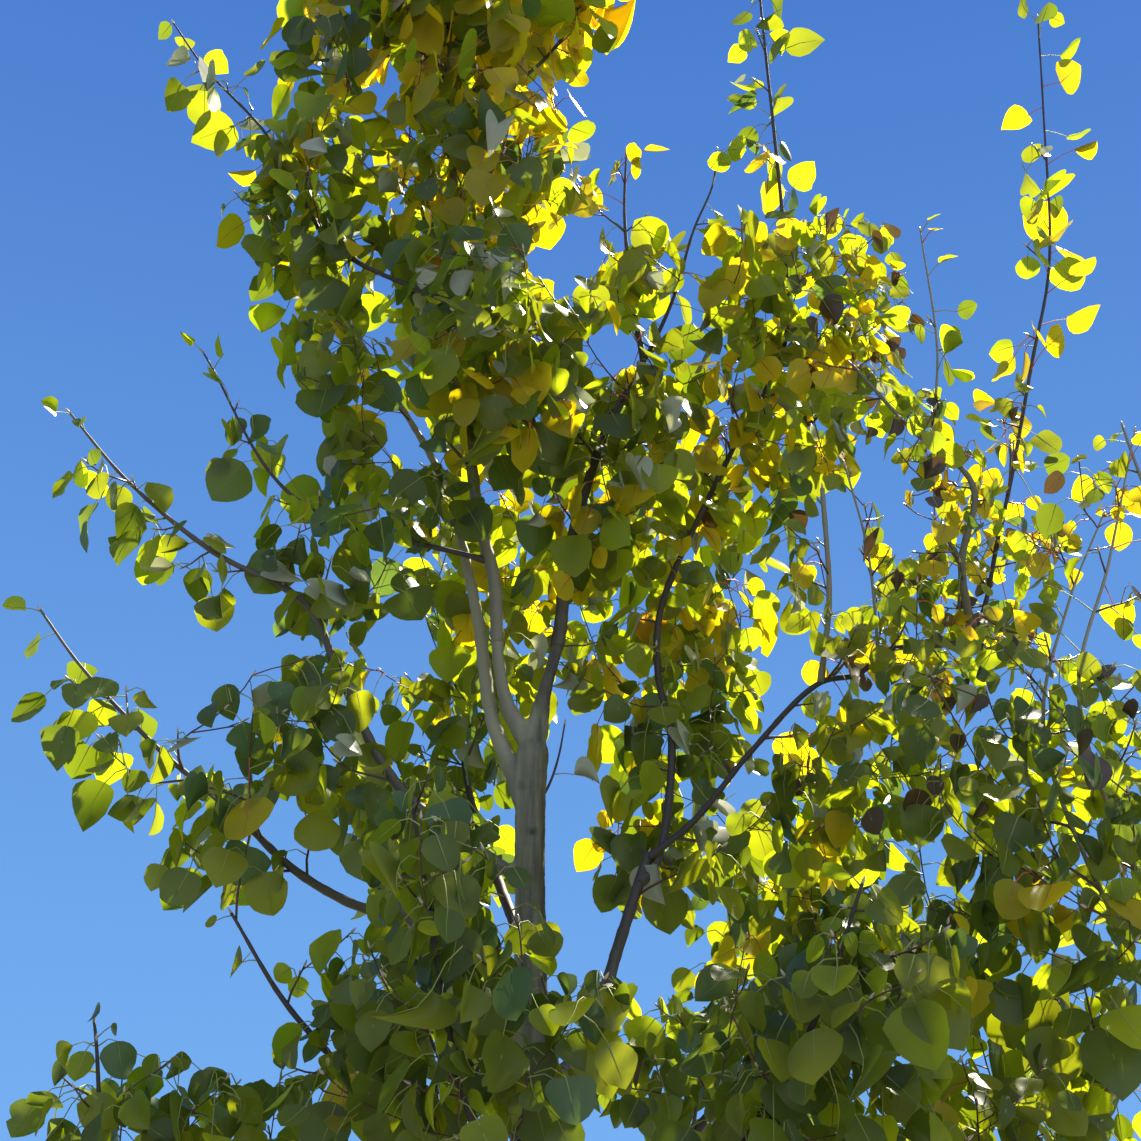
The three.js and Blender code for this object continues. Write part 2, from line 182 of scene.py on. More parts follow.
# %% Sky, sun and floor
SKY_LOW, SKY_HIGH = "#78B2F4", "#4B7ED0"
SKY_SINES = (0.02, 0.68)  # sines of the heights between which the sky deepens from low to high
LAMPS = {  # angles in degrees. A heading is 0 from the right and 90 from behind the tree
    "sun": dict(colour="#FFF6E6", strength=16, softness=1.5, height=50, heading=56),
    "fill": dict(colour="#FFFBF0", strength=1.0, softness=90, height=25, heading=-70)}
FLOOR_SIZE = 30.0

world = bpy.data.worlds.new("sky")
world.use_nodes = True
world.node_tree.nodes.clear()
bpy.context.scene.world = world
ray = add(world, "ShaderNodeTexCoord")
ray_parts = add(world, "ShaderNodeSeparateXYZ", {"Vector": (ray, "Generated")})
height_share = add(world, "ShaderNodeMapRange", {"Value": (ray_parts, "Z")}, From_Min=SKY_SINES[0],
                   From_Max=SKY_SINES[1])
sky_colour = add(world, "ShaderNodeMix", {"Factor": (height_share, 0), 6: linear(SKY_LOW),
                                          7: linear(SKY_HIGH)}, data_type="RGBA")
sky = add(world, "ShaderNodeBackground", {"Color": (sky_colour, 2)}, Strength=1.0)
add(world, "ShaderNodeOutputWorld", {"Surface": (sky, 0)})

for name, lamp in LAMPS.items():
    lamp_data = bpy.data.lights.new(name, "SUN")
    lamp_data.color = linear(lamp["colour"])[:3]
    lamp_data.energy = lamp["strength"]
    lamp_data.angle = math.radians(lamp["softness"])
    lamp_object = bpy.data.objects.new(name, lamp_data)
    lamp_object.rotation_euler = (math.radians(90 - lamp["height"]), 0, math.radians(90 + lamp["heading"]))
    bpy.context.scene.collection.objects.link(lamp_object)

floor_data = bpy.data.meshes.new("floor")
half = FLOOR_SIZE / 2
floor_data.from_pydata([(-half, -half, 0), (half, -half, 0), (half, half, 0), (-half, half, 0)],
                       [], [(0, 1, 2, 3)])
floor = bpy.data.objects.new("floor", floor_data)
bpy.context.scene.collection.objects.link(floor)
pale = new_material("pale plaster floor")
plaster = add(pale, "ShaderNodeBsdfPrincipled", Base_Color=linear("#74726B"), Roughness=0.9)
floor_data.materials.append(show(pale, plaster))
print("lamps", list(LAMPS), "floor", FLOOR_SIZE, "m")

# %% [markdown]
# ## The limbs' centre lines
#
# A limb grows year by year in nearly straight stretches: a length in millimetres, a
# heading (0 to the right, 90 away from the camera, 180 to the left) and a rise from
# level. A centripetal Catmull-Rom curve through their joints is the smooth line that
# the frame's limbs follow too. In the frame a bough stops where it enters leaves. Here
# each one runs on to its tip, because the twigs need it inside.

# %% Limbs by their stretches
LIMBS = {
    "trunk": dict(butt=92, tip=42, stretches=[
        (800, 0, 88.6), (560, 0, 89.2), (280, 180, 89), (110, 180, 82),
        (190, 180, 88), (190, 180, 89.5), (80, 0, 85)]),
    "leader_left": dict(carrier="trunk", at=2180, butt=22, tip=4, stretches=[
        (85, 176, 62), (73, 172, 78), (137, 168, 86), (97, 174, 76), (250, 172, 82),
        (390, 170, 86), (460, 172, 87), (500, 20, 88), (520, 350, 89)]),
    "leader_right": dict(carrier="trunk", at=2180, butt=25, tip=3.5, stretches=[
        (90, 40, 78), (130, 50, 72), (117, 27, 84), (152, 10, 77), (169, 6, 71),
        (67, 8, 52), (160, 143, 84), (200, 120, 84), (150, 44, 87)]),
    "stem_pale": dict(carrier="trunk", at=2080, butt=26, tip=5, stretches=[
        (110, 158, 68), (60, 150, 66), (200, 145, 79), (250, 155, 74), (200, 165, 62),
        (200, 172, 60)]),
    "bough_upper_left": dict(carrier="trunk", at=1975, butt=20, tip=3.5, stretches=[
        (240, 184, 36), (208, 193, 60), (115, 197, 62), (175, 186, 29), (180, 187, 39),
        (152, 189, 48)]),
    "bough_lower_left": dict(carrier="trunk", at=1728, butt=20, tip=3.5, stretches=[
        (110, 191, 50), (190, 185, 42), (30, 190, -10), (110, 193, 24), (130, 193, 40),
        (150, 190, 38), (170, 191, 44), (105, 200, 50)]),
    "bough_right": dict(carrier="trunk", at=1685, butt=23, tip=15, stretches=[
        (50, 13, 38), (50, 12, 54), (160, 20, 70), (135, 22, 70)]),
    "bough_right_outer": dict(carrier="bough_right", at=385, butt=10, tip=3, stretches=[
        (96, 342, 36), (130, 345, 48), (150, 343, 42), (62, 350, 11), (57, 346, 36),
        (130, 5, 12), (195, 10, 68), (330, 5, 74), (200, 0, 75), (330, 0, 85),
        (215, 0, 86)]),
    "bough_right_upright": dict(carrier="bough_right", at=345, butt=13, tip=3.5, stretches=[
        (44, 14, 49), (206, 28, 81), (97, 140, 77), (85, 97, 85), (75, 25, 77),
        (290, 345, 64), (200, 350, 63), (150, 0, 85), (570, 180, 88.5), (330, 180, 88.5)]),
    "bough_low_left": dict(carrier="trunk", at=1500, butt=19, tip=4, stretches=[
        (120, 203, 34), (170, 212, 32), (180, 200, 42), (150, 190, 55)]),
    "bough_bottom_left": dict(carrier="trunk", at=1130, butt=23, tip=4, stretches=[
        (260, 196, 32), (250, 198, 38), (170, 196, 35), (250, 190, 76)]),
    "bough_front": dict(carrier="trunk", at=1300, butt=21, tip=4, stretches=[
        (220, 262, 34), (180, 258, 42), (150, 220, 66), (340, 176, 78)]),
    "bough_front_right": dict(carrier="trunk", at=1270, butt=22, tip=4, stretches=[
        (250, 305, 38), (250, 306, 40), (220, 303, 42), (160, 310, 60)]),
    "bough_far_right": dict(carrier="trunk", at=1215, butt=24, tip=4, stretches=[
        (300, 335, 27), (320, 338, 28), (250, 338, 38), (200, 345, 62), (360, 10, 72),
        (450, 110, 80)]),
    "bough_back_left": dict(carrier="trunk", at=1580, butt=22, tip=4, stretches=[
        (240, 132, 40), (250, 128, 48), (250, 134, 56), (200, 128, 66)]),
    "bough_back_right": dict(carrier="trunk", at=1440, butt=23, tip=4, stretches=[
        (280, 36, 36), (280, 40, 42), (260, 34, 52), (220, 40, 66)]),
    "bough_back": dict(carrier="trunk", at=1860, butt=19, tip=4, stretches=[
        (200, 112, 46), (220, 118, 55), (240, 108, 64), (200, 120, 70)]),
    "bough_back_low": dict(carrier="trunk", at=1180, butt=21, tip=4, stretches=[
        (240, 96, 30), (230, 100, 36), (180, 92, 48)]),
    # Long shoots that no solid stands for, because leaves hide their lower ends
    "shoot_mid_left": dict(carrier="leader_left", at=330, butt=9, tip=3, stretches=[
        (320, 190, 15), (325, 180, 57)]),
    "shoot_top_left": dict(carrier="leader_left", at=820, butt=10, tip=3, stretches=[
        (250, 182, 28), (170, 185, 60), (110, 190, 58), (170, 188, 48), (115, 188, 56)]),
    "shoot_right": dict(carrier="leader_right", at=560, butt=9, tip=3, stretches=[
        (320, 5, 66), (166, 0, 74), (105, 0, 69), (78, 0, 82)]),
    "shoot_top_right": dict(carrier="leader_left", at=1250, butt=9, tip=3, stretches=[
        (200, 20, 40), (250, 25, 62), (250, 15, 72)]),
    "shoot_leaning": dict(carrier="bough_right_outer", at=640, butt=13, tip=5, stretches=[
        (104, 248, 66), (135, 336, 77), (138, 167, 52), (154, 172, 56)]),
    "shoot_slender": dict(carrier="shoot_leaning", at=340, butt=5, tip=2.5, stretches=[
        (164, 347, 81), (247, 124, 88)]),
    "shoot_broken": dict(carrier="bough_right_outer", at=380, butt=9, tip=7.6, stretches=[
        (132, 306, 77), (177, 262, 80)]),
    "shoot_thin": dict(carrier="bough_right_outer", at=480, butt=5, tip=3, stretches=[
        (165, 253, 76), (142, 209, 77)]),
    "shoot_edge": dict(carrier="bough_far_right", at=1070, butt=8, tip=2.5, stretches=[
        (337, 164, 79), (225, 14, 70), (227, 14, 71)]),
    "shoot_edge_inner": dict(carrier="bough_far_right", at=1000, butt=8, tip=2.5, stretches=[
        (362, 160, 76), (209, 21, 71), (170, 17, 62)]),
    "shoot_bare": dict(carrier="trunk", at=2080, butt=5, tip=2.5, stretches=[
        (55, 10, 58), (50, 0, 72), (50, 0, 80)]),
}
TAPER = 1.05  # a limb thins a little faster near its butt
TRUNK_TAPER = 0.85


def unit(vectors):
    return vectors / np.maximum(np.linalg.norm(vectors, axis=-1, keepdims=True), 1e-9)


def heading_vector(heading, rise):
    flat = math.cos(math.radians(rise))
    return np.array([flat * math.cos(math.radians(heading)),
                     flat * math.sin(math.radians(heading)), math.sin(math.radians(rise))])


def smooth_line(corners, per_stretch=24):
    """A centripetal Catmull-Rom curve through the corners, as points."""
    ends = [2 * corners[0] - corners[1]] + corners + [2 * corners[-1] - corners[-2]]
    steps = np.linspace(0, 1, per_stretch, endpoint=False)[:, None]
    line = []
    for a, b, c, d in zip(ends, ends[1:], ends[2:], ends[3:]):
        ab, bc, cd = (np.linalg.norm(q - p) ** 0.5 for p, q in ((a, b), (b, c), (c, d)))
        out = ((b - a) / ab - (c - a) / (ab + bc) + (c - b) / bc) * bc
        into = ((c - b) / bc - (d - b) / (bc + cd) + (d - c) / cd) * bc
        line.append(b + out * steps + (3 * (c - b) - 2 * out - into) * steps ** 2
                    + (2 * (b - c) + out + into) * steps ** 3)
    return np.vstack(line + [corners[-1][None]])


class Line:
    """A centre line that gives points and directions by distance from its start."""

    def __init__(self, points):
        self.points = np.asarray(points)
        gaps = np.linalg.norm(np.diff(self.points, axis=0), axis=1)
        self.reach = np.concatenate([[0], np.cumsum(gaps)])
        self.length = self.reach[-1]

    def at(self, distance):
        distance = np.clip(distance, 0, self.length)
        return np.stack([np.interp(distance, self.reach, self.points[:, i]) for i in range(3)], axis=-1)

    def towards(self, distance, span=0.004):
        return unit(self.at(np.asarray(distance) + span) - self.at(np.asarray(distance) - span))


lines = {}
for name, limb in LIMBS.items():
    start = lines[limb["carrier"]].at(limb["at"] * MM) if "carrier" in limb else np.zeros(3)
    corners = [start]
    for length, heading, rise in limb["stretches"]:
        corners.append(corners[-1] + heading_vector(heading, rise) * length * MM)
    lines[name] = Line(smooth_line(corners))
print("limbs", {name: round(line.length, 2) for name, line in lines.items()})

# %% [markdown]
# ## Tubes from arrays
#
# Hundreds of twigs have to be made quickly, so the mesh is built from whole arrays of
# numbers: rings of points round a line, then the quads between neighbouring rings. A
# ring's frame is carried along the line with as little twist as possible.

# %% Mesh helpers


def mesh_object(name, points, faces):
    """A smooth mesh object from an array of points and a list of arrays of triangles or quads."""
    mesh = bpy.data.meshes.new(name)
    points = np.asarray(points, dtype=np.float32)
    corners = np.concatenate([f.ravel() for f in faces]).astype(np.int32)
    sizes = np.concatenate([np.full(len(f), f.shape[1]) for f in faces])
    mesh.vertices.add(len(points))
    mesh.vertices.foreach_set("co", points.ravel())
    mesh.loops.add(len(corners))
    mesh.loops.foreach_set("vertex_index", corners)
    mesh.polygons.add(len(sizes))
    mesh.polygons.foreach_set("loop_start", (np.cumsum(sizes) - sizes).astype(np.int32))
    mesh.polygons.foreach_set("use_smooth", np.ones(len(sizes), dtype=bool))
    mesh.update(calc_edges=True)
    mesh.validate()
    item = bpy.data.objects.new(name, mesh)
    bpy.context.scene.collection.objects.link(item)
    return item


def ring_frames(points):
    """Two side vectors for each ring along a line, turned as little as possible from ring to ring."""
    ahead = unit(np.gradient(points, axis=0))
    side = np.cross(ahead[0], [0.31, 0.95, 0.05])  # any direction that no limb takes
    sides = []
    for direction in ahead:
        side = unit(side - direction * side.dot(direction))
        sides.append(side)
    sides = np.array(sides)
    return sides, np.cross(ahead, sides)


def ring_cells(rings, sides):
    """The numbers of the points on each ring, of the points after them, and the quads between rings."""
    cells = np.arange(rings * sides).reshape(rings, sides)
    after = np.roll(cells, -1, axis=1)
    return cells, after, np.stack([cells[:-1], after[:-1], after[1:], cells[1:]], axis=-1).reshape(-1, 4)


def turns(sides):
    return np.linspace(0, 2 * np.pi, sides, endpoint=False)


def tube(points, radii, sides):
    """Points, quads and end triangles of a closed tube. radii is a number for each ring or each point."""
    across, over = ring_frames(points)
    radii = np.broadcast_to(np.asarray(radii).reshape(len(points), -1), (len(points), sides))
    turn = turns(sides)[None, :, None]
    spokes = across[:, None] * np.cos(turn) + over[:, None] * np.sin(turn)
    rings = points[:, None] + spokes * radii[..., None]
    cells, after, quads = ring_cells(len(points), sides)
    foot, top = np.full(sides, rings.size // 3), np.full(sides, rings.size // 3 + 1)
    caps = np.concatenate([np.stack([after[0], cells[0], foot], axis=-1),
                           np.stack([cells[-1], after[-1], top], axis=-1)])
    return np.vstack([rings.reshape(-1, 3), points[:1], points[-1:]]), quads, caps


class Heap:
    """Collects many small meshes and makes one object of them."""

    def __init__(self):
        self.points, self.quads, self.triangles, self.count = [], [], [], 0

    def put(self, points, quads, triangles):
        self.points.append(points)
        self.quads.append(quads + self.count)
        self.triangles.append(triangles + self.count)
        self.count += len(points)

    def make(self, name):
        faces = [np.concatenate(self.quads), np.concatenate(self.triangles)]
        return mesh_object(name, np.concatenate(self.points), faces)


def triangles_of(item):
    return sum(len(p.vertices) - 2 for p in item.data.polygons)


# %% [markdown]
# ## Bark on the trunk
#
# A poplar's young trunk is smooth, with soft swellings, a thick collar at each bough
# and eye-shaped scars where shed boughs were. A tube alone would show hard rings where
# limbs meet. So the trunk and the first few centimetres of every bough are joined by a
# voxel remesh, which melts them into one skin, and its points are then moved along
# their normals for the relief.

# %% The trunk and its collars
ROOTS, ROOT_DEPTH, FLARE, FLARE_HEIGHT = 5, 0.13, 0.62, 0.095
FORK_SWELL, FORK_SWELL_HEIGHT = 0.007, 0.110
COLLAR_LENGTH = 0.085
FORK_LENGTH = 0.20  # how much of the stems at the fork is part of the same skin
COLLAR_WIDENS, COLLAR_FADES = 0.60, 0.036  # a bough is this much thicker at its butt, and over this length
FORK_FADES = 0.0648  # the swelling of the stems at the fork is longer
FORK_SLIMS, FORK_ROUNDS = 0.30, 0.02  # but they start slim inside the trunk, so that no ledge shows
TRUNK_SLIMS, TRUNK_ENDS = 0.75, 0.018  # and the trunk's own top draws in under them
TRUNK_RINGS, TRUNK_SIDES, COLLAR_RINGS, COLLAR_SIDES = 260, 48, 24, 20
VOXEL = 0.0038
MELT, MELT_ROUNDS = 0.6, 10
STOUT_MM = 12  # a thinner stem on the trunk has no collar
AT_FORK = ("leader_left", "leader_right", "stem_pale")


def limb_radius(name, share):
    """A limb's radius at a share of its length."""
    limb = LIMBS[name]
    power = TRUNK_TAPER if name == "trunk" else TAPER
    remaining = 1 - share ** power if name == "trunk" else (1 - share) ** power
    return (limb["tip"] + (limb["butt"] - limb["tip"]) * remaining) * MM / 2


def bump(distance, reach):
    """A smooth bump: 1 at no distance, and nearly 0 beyond twice its reach."""
    return np.exp(-(distance / reach) ** 2)


def trunk_tube():
    line = lines["trunk"]
    along = np.linspace(0, line.length, TRUNK_RINGS)
    below_fork = line.length - along
    plain = limb_radius("trunk", along / line.length) + FORK_SWELL / 2 * bump(below_fork, FORK_SWELL_HEIGHT)
    plain = plain * (1 - TRUNK_SLIMS * bump(below_fork, TRUNK_ENDS))
    ridge = 1 + ROOT_DEPTH * np.cos(ROOTS * turns(TRUNK_SIDES))
    radii = plain[:, None] * (1 + FLARE * np.exp(-along / FLARE_HEIGHT)[:, None] * ridge)
    return tube(line.at(along), radii, TRUNK_SIDES)


def skin_length(name):
    """How much of a stem is part of the trunk's skin."""
    return FORK_LENGTH if name in AT_FORK else COLLAR_LENGTH


def collar_tube(name):
    line = lines[name]
    at_fork = name in AT_FORK
    along = np.linspace(0, skin_length(name), COLLAR_RINGS)
    radii = limb_radius(name, along / line.length)
    radii = radii * (1 + COLLAR_WIDENS * bump(along, FORK_FADES if at_fork else COLLAR_FADES))
    if at_fork:
        radii = radii * (1 - FORK_SLIMS * bump(along, FORK_ROUNDS))
    return tube(line.at(along), radii, COLLAR_SIDES)


on_trunk = [name for name, limb in LIMBS.items()
            if limb.get("carrier") == "trunk" and limb["butt"] > STOUT_MM]
heap = Heap()
heap.put(*trunk_tube())
for name in on_trunk:
    heap.put(*collar_tube(name))
trunk_bark = heap.make("trunk_bark")
remesh = trunk_bark.modifiers.new("one skin", "REMESH")
remesh.mode = "VOXEL"
remesh.voxel_size = VOXEL
melt = trunk_bark.modifiers.new("melt", "SMOOTH")
melt.factor = MELT
melt.iterations = MELT_ROUNDS


def apply_modifiers(item):
    """Bakes an object's modifiers into its mesh."""
    shaped = item.evaluated_get(bpy.context.evaluated_depsgraph_get())
    mesh = bpy.data.meshes.new_from_object(shaped)
    item.modifiers.clear()
    item.data = mesh
    mesh.polygons.foreach_set("use_smooth", np.ones(len(mesh.polygons), dtype=bool))


bpy.context.view_layer.update()
apply_modifiers(trunk_bark)
print("trunk skin", triangles_of(trunk_bark), "triangles")

# %% [markdown]
# The relief has three sizes: swellings a hand wide, faint level wrinkles that circle
# the stem, and the scars. A scar is a shallow eye with a raised lid, about 20 mm wide.
# Two of them sit under the fork where the photograph shows them, and the others are
# dealt out over the trunk by chance.

# %% Relief and scars
rng = np.random.default_rng(417)
SWELLING, SWELLING_SIZE = 0.0011, 0.016  # how high the waves are, and their length over 2 pi
WRINKLE, WRINKLE_SIZE = 0.00035, 0.0028
SCAR_WIDTH, SCAR_HEIGHT, SCAR_DEPTH = 0.0085, 0.0055, 0.0024
SCARS_SEEN = [(2.178, 226), (2.118, 232)]  # height and heading of the scars under the fork
SCARS_GUESSED, SCAR_GAP = 15, 0.05
SCAR_HEIGHTS = (0.25, 2.08)
FOOT_FLAT, FOOT_FADES = 0.004, 0.02  # the relief ends here above the cut at the ground


def read(item, name):
    """A mesh's points ("co") or the directions they face ("normal"), as an array."""
    values = np.empty(len(item.data.vertices) * 3, dtype=np.float32)
    item.data.vertices.foreach_get(name, values)
    return values.reshape(-1, 3).astype(float)


def lift_skin(item, lift, lowest=-np.inf):
    """Moves a mesh's points along their normals. Returns the new points."""
    points = read(item, "co") + read(item, "normal") * lift[:, None]
    points[:, 2] = np.maximum(points[:, 2], lowest)
    item.data.vertices.foreach_set("co", points.astype(np.float32).ravel())
    item.data.update()
    return points


def round_the_trunk(points):
    """Each point's distance from the trunk's centre line, and its heading from there."""
    line = lines["trunk"]
    axis = [np.interp(points[:, 2], line.points[:, 2], line.points[:, i]) for i in (0, 1)]
    out = points[:, :2] - np.stack(axis, axis=1)
    return np.linalg.norm(out, axis=1), np.degrees(np.arctan2(out[:, 1], out[:, 0])) % 360


def waves(points, scale, count, seed):
    """A soft, seeded field of sine waves over space, within about -1 to 1."""
    dice = np.random.default_rng(seed)
    total = np.zeros(len(points))
    for _ in range(count):
        direction = dice.normal(size=3)
        total += np.sin(points @ (direction / scale) + dice.uniform(0, 6.28))
    return total / math.sqrt(count)


scars = list(SCARS_SEEN)
while len(scars) < len(SCARS_SEEN) + SCARS_GUESSED:
    place = (rng.uniform(*SCAR_HEIGHTS), rng.uniform(0, 360))
    if all(abs(place[0] - other[0]) > SCAR_GAP for other in scars):
        scars.append(place)

skin = read(trunk_bark, "co")
height = skin[:, 2]
away, heading = round_the_trunk(skin)
lift = SWELLING * waves(skin * [1, 1, 0.35], SWELLING_SIZE, count=7, seed=5)
lift += WRINKLE * waves(skin * [0.12, 0.12, 1], WRINKLE_SIZE, count=5, seed=9)
scarred = np.zeros(len(skin))
for scar_height, scar_heading in scars:
    size = rng.uniform(0.75, 1.15)
    across = np.radians((heading - scar_heading + 180) % 360 - 180) * away / (SCAR_WIDTH * size)
    upward = (height - scar_height) / (SCAR_HEIGHT * size)
    eye = np.exp(-(across ** 2 + upward ** 2))
    lid = np.exp(-(across ** 2 / 1.6 + (upward - 1.5 + 0.5 * across ** 2) ** 2 * 3))
    mound = np.exp(-(across ** 2 + upward ** 2) / 4)
    lift += SCAR_DEPTH * size * (0.9 * lid + 0.5 * mound - 1.1 * eye)
    scarred = np.maximum(scarred, np.maximum(eye, 0.55 * lid))
lift *= np.clip((height - FOOT_FLAT) / FOOT_FADES, 0, 1)
skin = lift_skin(trunk_bark, lift, lowest=0)
print("scars", len(scars))

# %% [markdown]
# ## Bark on the limbs
#
# Leaders, boughs and long shoots are tubes with a ring every few millimetres. Each
# swells a little at the nodes where leaves and twigs were, which gives a poplar stem
# its knuckled look, and a knot stands where a side bough was lost. Three numbers go with
# every point for the material to read: how thick the limb is there, because young bark
# is dark and old bark is pale, how scarred it is, and how much pale wax covers it. Part
# of that is painted: the dark of young bark on the boughs is partly painted shade, and
# the wax on the trunk's left side and the shoots at the right is partly painted light.

# %% The limbs
RING_STEP, FEWEST_RINGS = 0.009, 12
LIMB_SIDES, LEADER_SIDES = 12, 16
SINKS, FORK_SINKS = 0.010, 0.012  # a limb's tube starts inside its carrier, or inside the trunk's skin
BUTT_SWELL, BUTT_LENGTH = 0.35, 0.03
NODE_GAP, NODE_SWELL, NODE_SHARE = 0.034, 0.10, 0.16
KNOTS = {"bough_lower_left": 0.300}  # where a side bough was lost, in metres along the limb
KNOT_LENGTH, KNOT_SWELL = 0.016, 0.85
DENTS, DENT_SIZE = 0.05, 0.011  # depth as a share of the radius, and size
BLOOM_AND_PAINTED_SUN = {  # how much pale wax covers a limb's bark. On the boughs and shoots at the right it is partly painted sunlight
    "stem_pale": 0.7, "leader_left": 0.35, "bough_far_right": 0.55, "shoot_edge": 0.6,
    "shoot_edge_inner": 0.6, "shoot_thin": 0.5, "shoot_broken": 0.5, "shoot_leaning": 0.3,
    "shoot_slender": 0.5, "bough_upper_left": 0.12, "bough_lower_left": 0.12}
BLOOM_FADES = 0.12  # the wax of a stem at the fork fades out into the trunk's over this length
PATCH_SIZE, PATCH_WAX_AND_LIGHT = 0.030, 0.45  # the trunk's own wax lies in patches, and the extra on its left side is painted light


def give(item, name, values):
    """Stores one number for each point of a mesh, for its material to read."""
    layer = item.data.attributes.new(name, "FLOAT", "POINT")
    layer.data.foreach_set("value", np.asarray(values, dtype=np.float32))


def limb_bark(name):
    line = lines[name]
    start = FORK_LENGTH - FORK_SINKS if name in AT_FORK else SINKS if name in on_trunk else 0.0
    along = np.linspace(start, line.length, max(FEWEST_RINGS, int(line.length / RING_STEP)))
    knot = bump(along - KNOTS.get(name, -1), KNOT_LENGTH)
    node = ((along - start) / NODE_GAP) % 1.0
    radii = limb_radius(name, along / line.length) * (1 + BUTT_SWELL * bump(along, BUTT_LENGTH))
    radii = radii * (1 + NODE_SWELL * bump(node - 0.5, NODE_SHARE)) * (1 + KNOT_SWELL * knot)
    sides = LEADER_SIDES if name.startswith("leader") else LIMB_SIDES
    points, quads, caps = tube(line.at(along), radii, sides)
    item = mesh_object(name + "_bark", points, [quads, caps])

    def on_rings(values, ends):
        return np.append(np.repeat(values, sides), ends)

    dents = DENTS * waves(points, DENT_SIZE, count=6, seed=len(name))
    lift_skin(item, dents * on_rings(radii, [0, 0]))
    facing_front = np.clip(-read(item, "normal")[:, 1], 0, 1)
    give(item, "thickness", on_rings(radii, radii[[0, -1]]) * 2 / MM)
    give(item, "scarred", on_rings(knot, [0, 0]) * facing_front)
    give(item, "bloom", np.full(len(points), BLOOM_AND_PAINTED_SUN.get(name, 0)))
    return item


bark_pieces = {name: limb_bark(name) for name in LIMBS if name != "trunk"}
print("limbs with bark", len(bark_pieces))

# %% What the bark material reads on the trunk
in_skin = {name: np.linspace(0, skin_length(name), 16) for name in on_trunk}
in_skin["trunk"] = np.linspace(0, lines["trunk"].length, 120)
nearness, thick, wax_and_painted_sun = np.zeros((3, len(skin)))
for name, along in in_skin.items():
    gaps = np.linalg.norm(skin[:, None] - lines[name].at(along)[None], axis=2)
    nearest = along[gaps.argmin(axis=1)]
    radius = limb_radius(name, nearest / lines[name].length)
    pull = np.exp(-5 * gaps.min(axis=1) / radius)  # each stem counts for most where it is nearest
    nearness += pull
    thick += pull * radius * 2 / MM
    # The stems' wax, with painted sunlight on the bough at the right
    wax_and_painted_sun += pull * BLOOM_AND_PAINTED_SUN.get(name, 0) * np.clip(nearest / BLOOM_FADES, 0, 1)
# Random wax patches, plus painted light: the more a point faces left, the more pale wax it gets
wax_patches_and_lit_side = 0.6 * waves(skin * [1, 1, 0.2], PATCH_SIZE, count=5, seed=31)
wax_patches_and_lit_side += 0.1 - np.cos(np.radians(heading))
give(trunk_bark, "thickness", thick / nearness)
give(trunk_bark, "scarred", scarred)
give(trunk_bark, "bloom", np.maximum(wax_and_painted_sun / nearness, PATCH_WAX_AND_LIGHT * np.clip(wax_patches_and_lit_side, 0, 1)))
bark_pieces["trunk"] = trunk_bark
print("bark", sum(triangles_of(p) for p in bark_pieces.values()), "triangles")

# %% [markdown]
# ## Where leaves may grow
#
# Each mass of the frame is a closed solid, so it can say whether a point is inside it:
# the nearest spot of its surface then faces away from the point. Twig tips are aimed at
# points scattered through the masses, no two closer than a hand's width. Deep inside a
# mass it is too dark for most of them. On dry boughs they stand closer, with small
# leaves, and the masses at the back and on strong shoots are thinner. Where the masses
# leave a gap, no tip is aimed, and the sky stays open. Smaller gaps inside the crown are
# named by where the photograph shows them, and so are a few sprays that stand out.

# %% Where tips are dense, thin or left out
TIP_GAP = 0.070
SKIN = 0.022  # a tip stays this far inside its mass, so that leaves don't stand out too far
INNER, INNER_SHARE = 0.055, 0.22  # deeper inside a mass it is too dark for all but a share of the tips
HANG = 0.05  # the leaves of a tip hang about this far below it, and have to be inside too
DRY_PLACES = [  # middle and reach of the boughs short of water: their leaves are small and close
    ((0.70, -0.15, 2.40), (0.30, 0.40, 0.40)), ((0.62, 0.0, 3.05), (0.16, 0.40, 0.35))]
DRY_CLOSER = 0.22  # how much closer their twig tips are
SPARSE = {  # share of the tips that grow on strong shoots, whose leaves sit on the stem, and at the back
    "leaves_tall_shoot": 0.1, "leaves_far_right_shoot": 0.05, "leaves_right_leader_tip": 0.3,
    "leaves_upper_left_tip": 0.7, "leaves_lower_left_tip": 0.5, "leaves_top_left_shoot": 0.4,
    "leaves_mid_left_shoot": 0.3, "leaves_right_shoot": 0.3, "leaves_crown_tip": 0.4,
    "leaves_crown": 0.75, "leaves_crown_left": 0.75, "leaves_crown_right": 0.7,
    "leaves_right_outer": 0.8, "leaves_back": 0.35, "leaves_back_high": 0.4,
    "leaves_back_right_high": 0.45, "leaves_back_right": 0.65, "leaves_back_left": 0.75,
    "leaves_back_low": 0.8, "leaves_centre_back": 0.75, "leaves_right_edge": 0.35}
SKY_GAPS_PX = [  # middle and reach of the larger gaps inside the crown, in the photograph's pixels
    ((402, 440), 24), ((292, 418), 24), ((308, 448), 14), ((558, 258), 24),
    ((582, 230), 14), ((612, 352), 22), ((402, 645), 26), ((215, 748), 20),
    ((285, 826), 22), ((334, 876), 24), ((330, 914), 22), ((274, 925), 22), ((504, 905), 12),
    ((585, 925), 24), ((650, 945), 28), ((842, 520), 22), ((848, 580), 26), ((880, 482), 22),
    ((905, 530), 20), ((782, 655), 16), ((1075, 622), 14), ((1122, 560), 14),
    ((115, 628), 26), ((58, 610), 16), ((205, 415), 14), ((165, 925), 18), ((105, 875), 20),
    ((625, 215), 14), ((1000, 185), 14), ((570, 720), 12), ((572, 800), 18), ((255, 655), 16)]
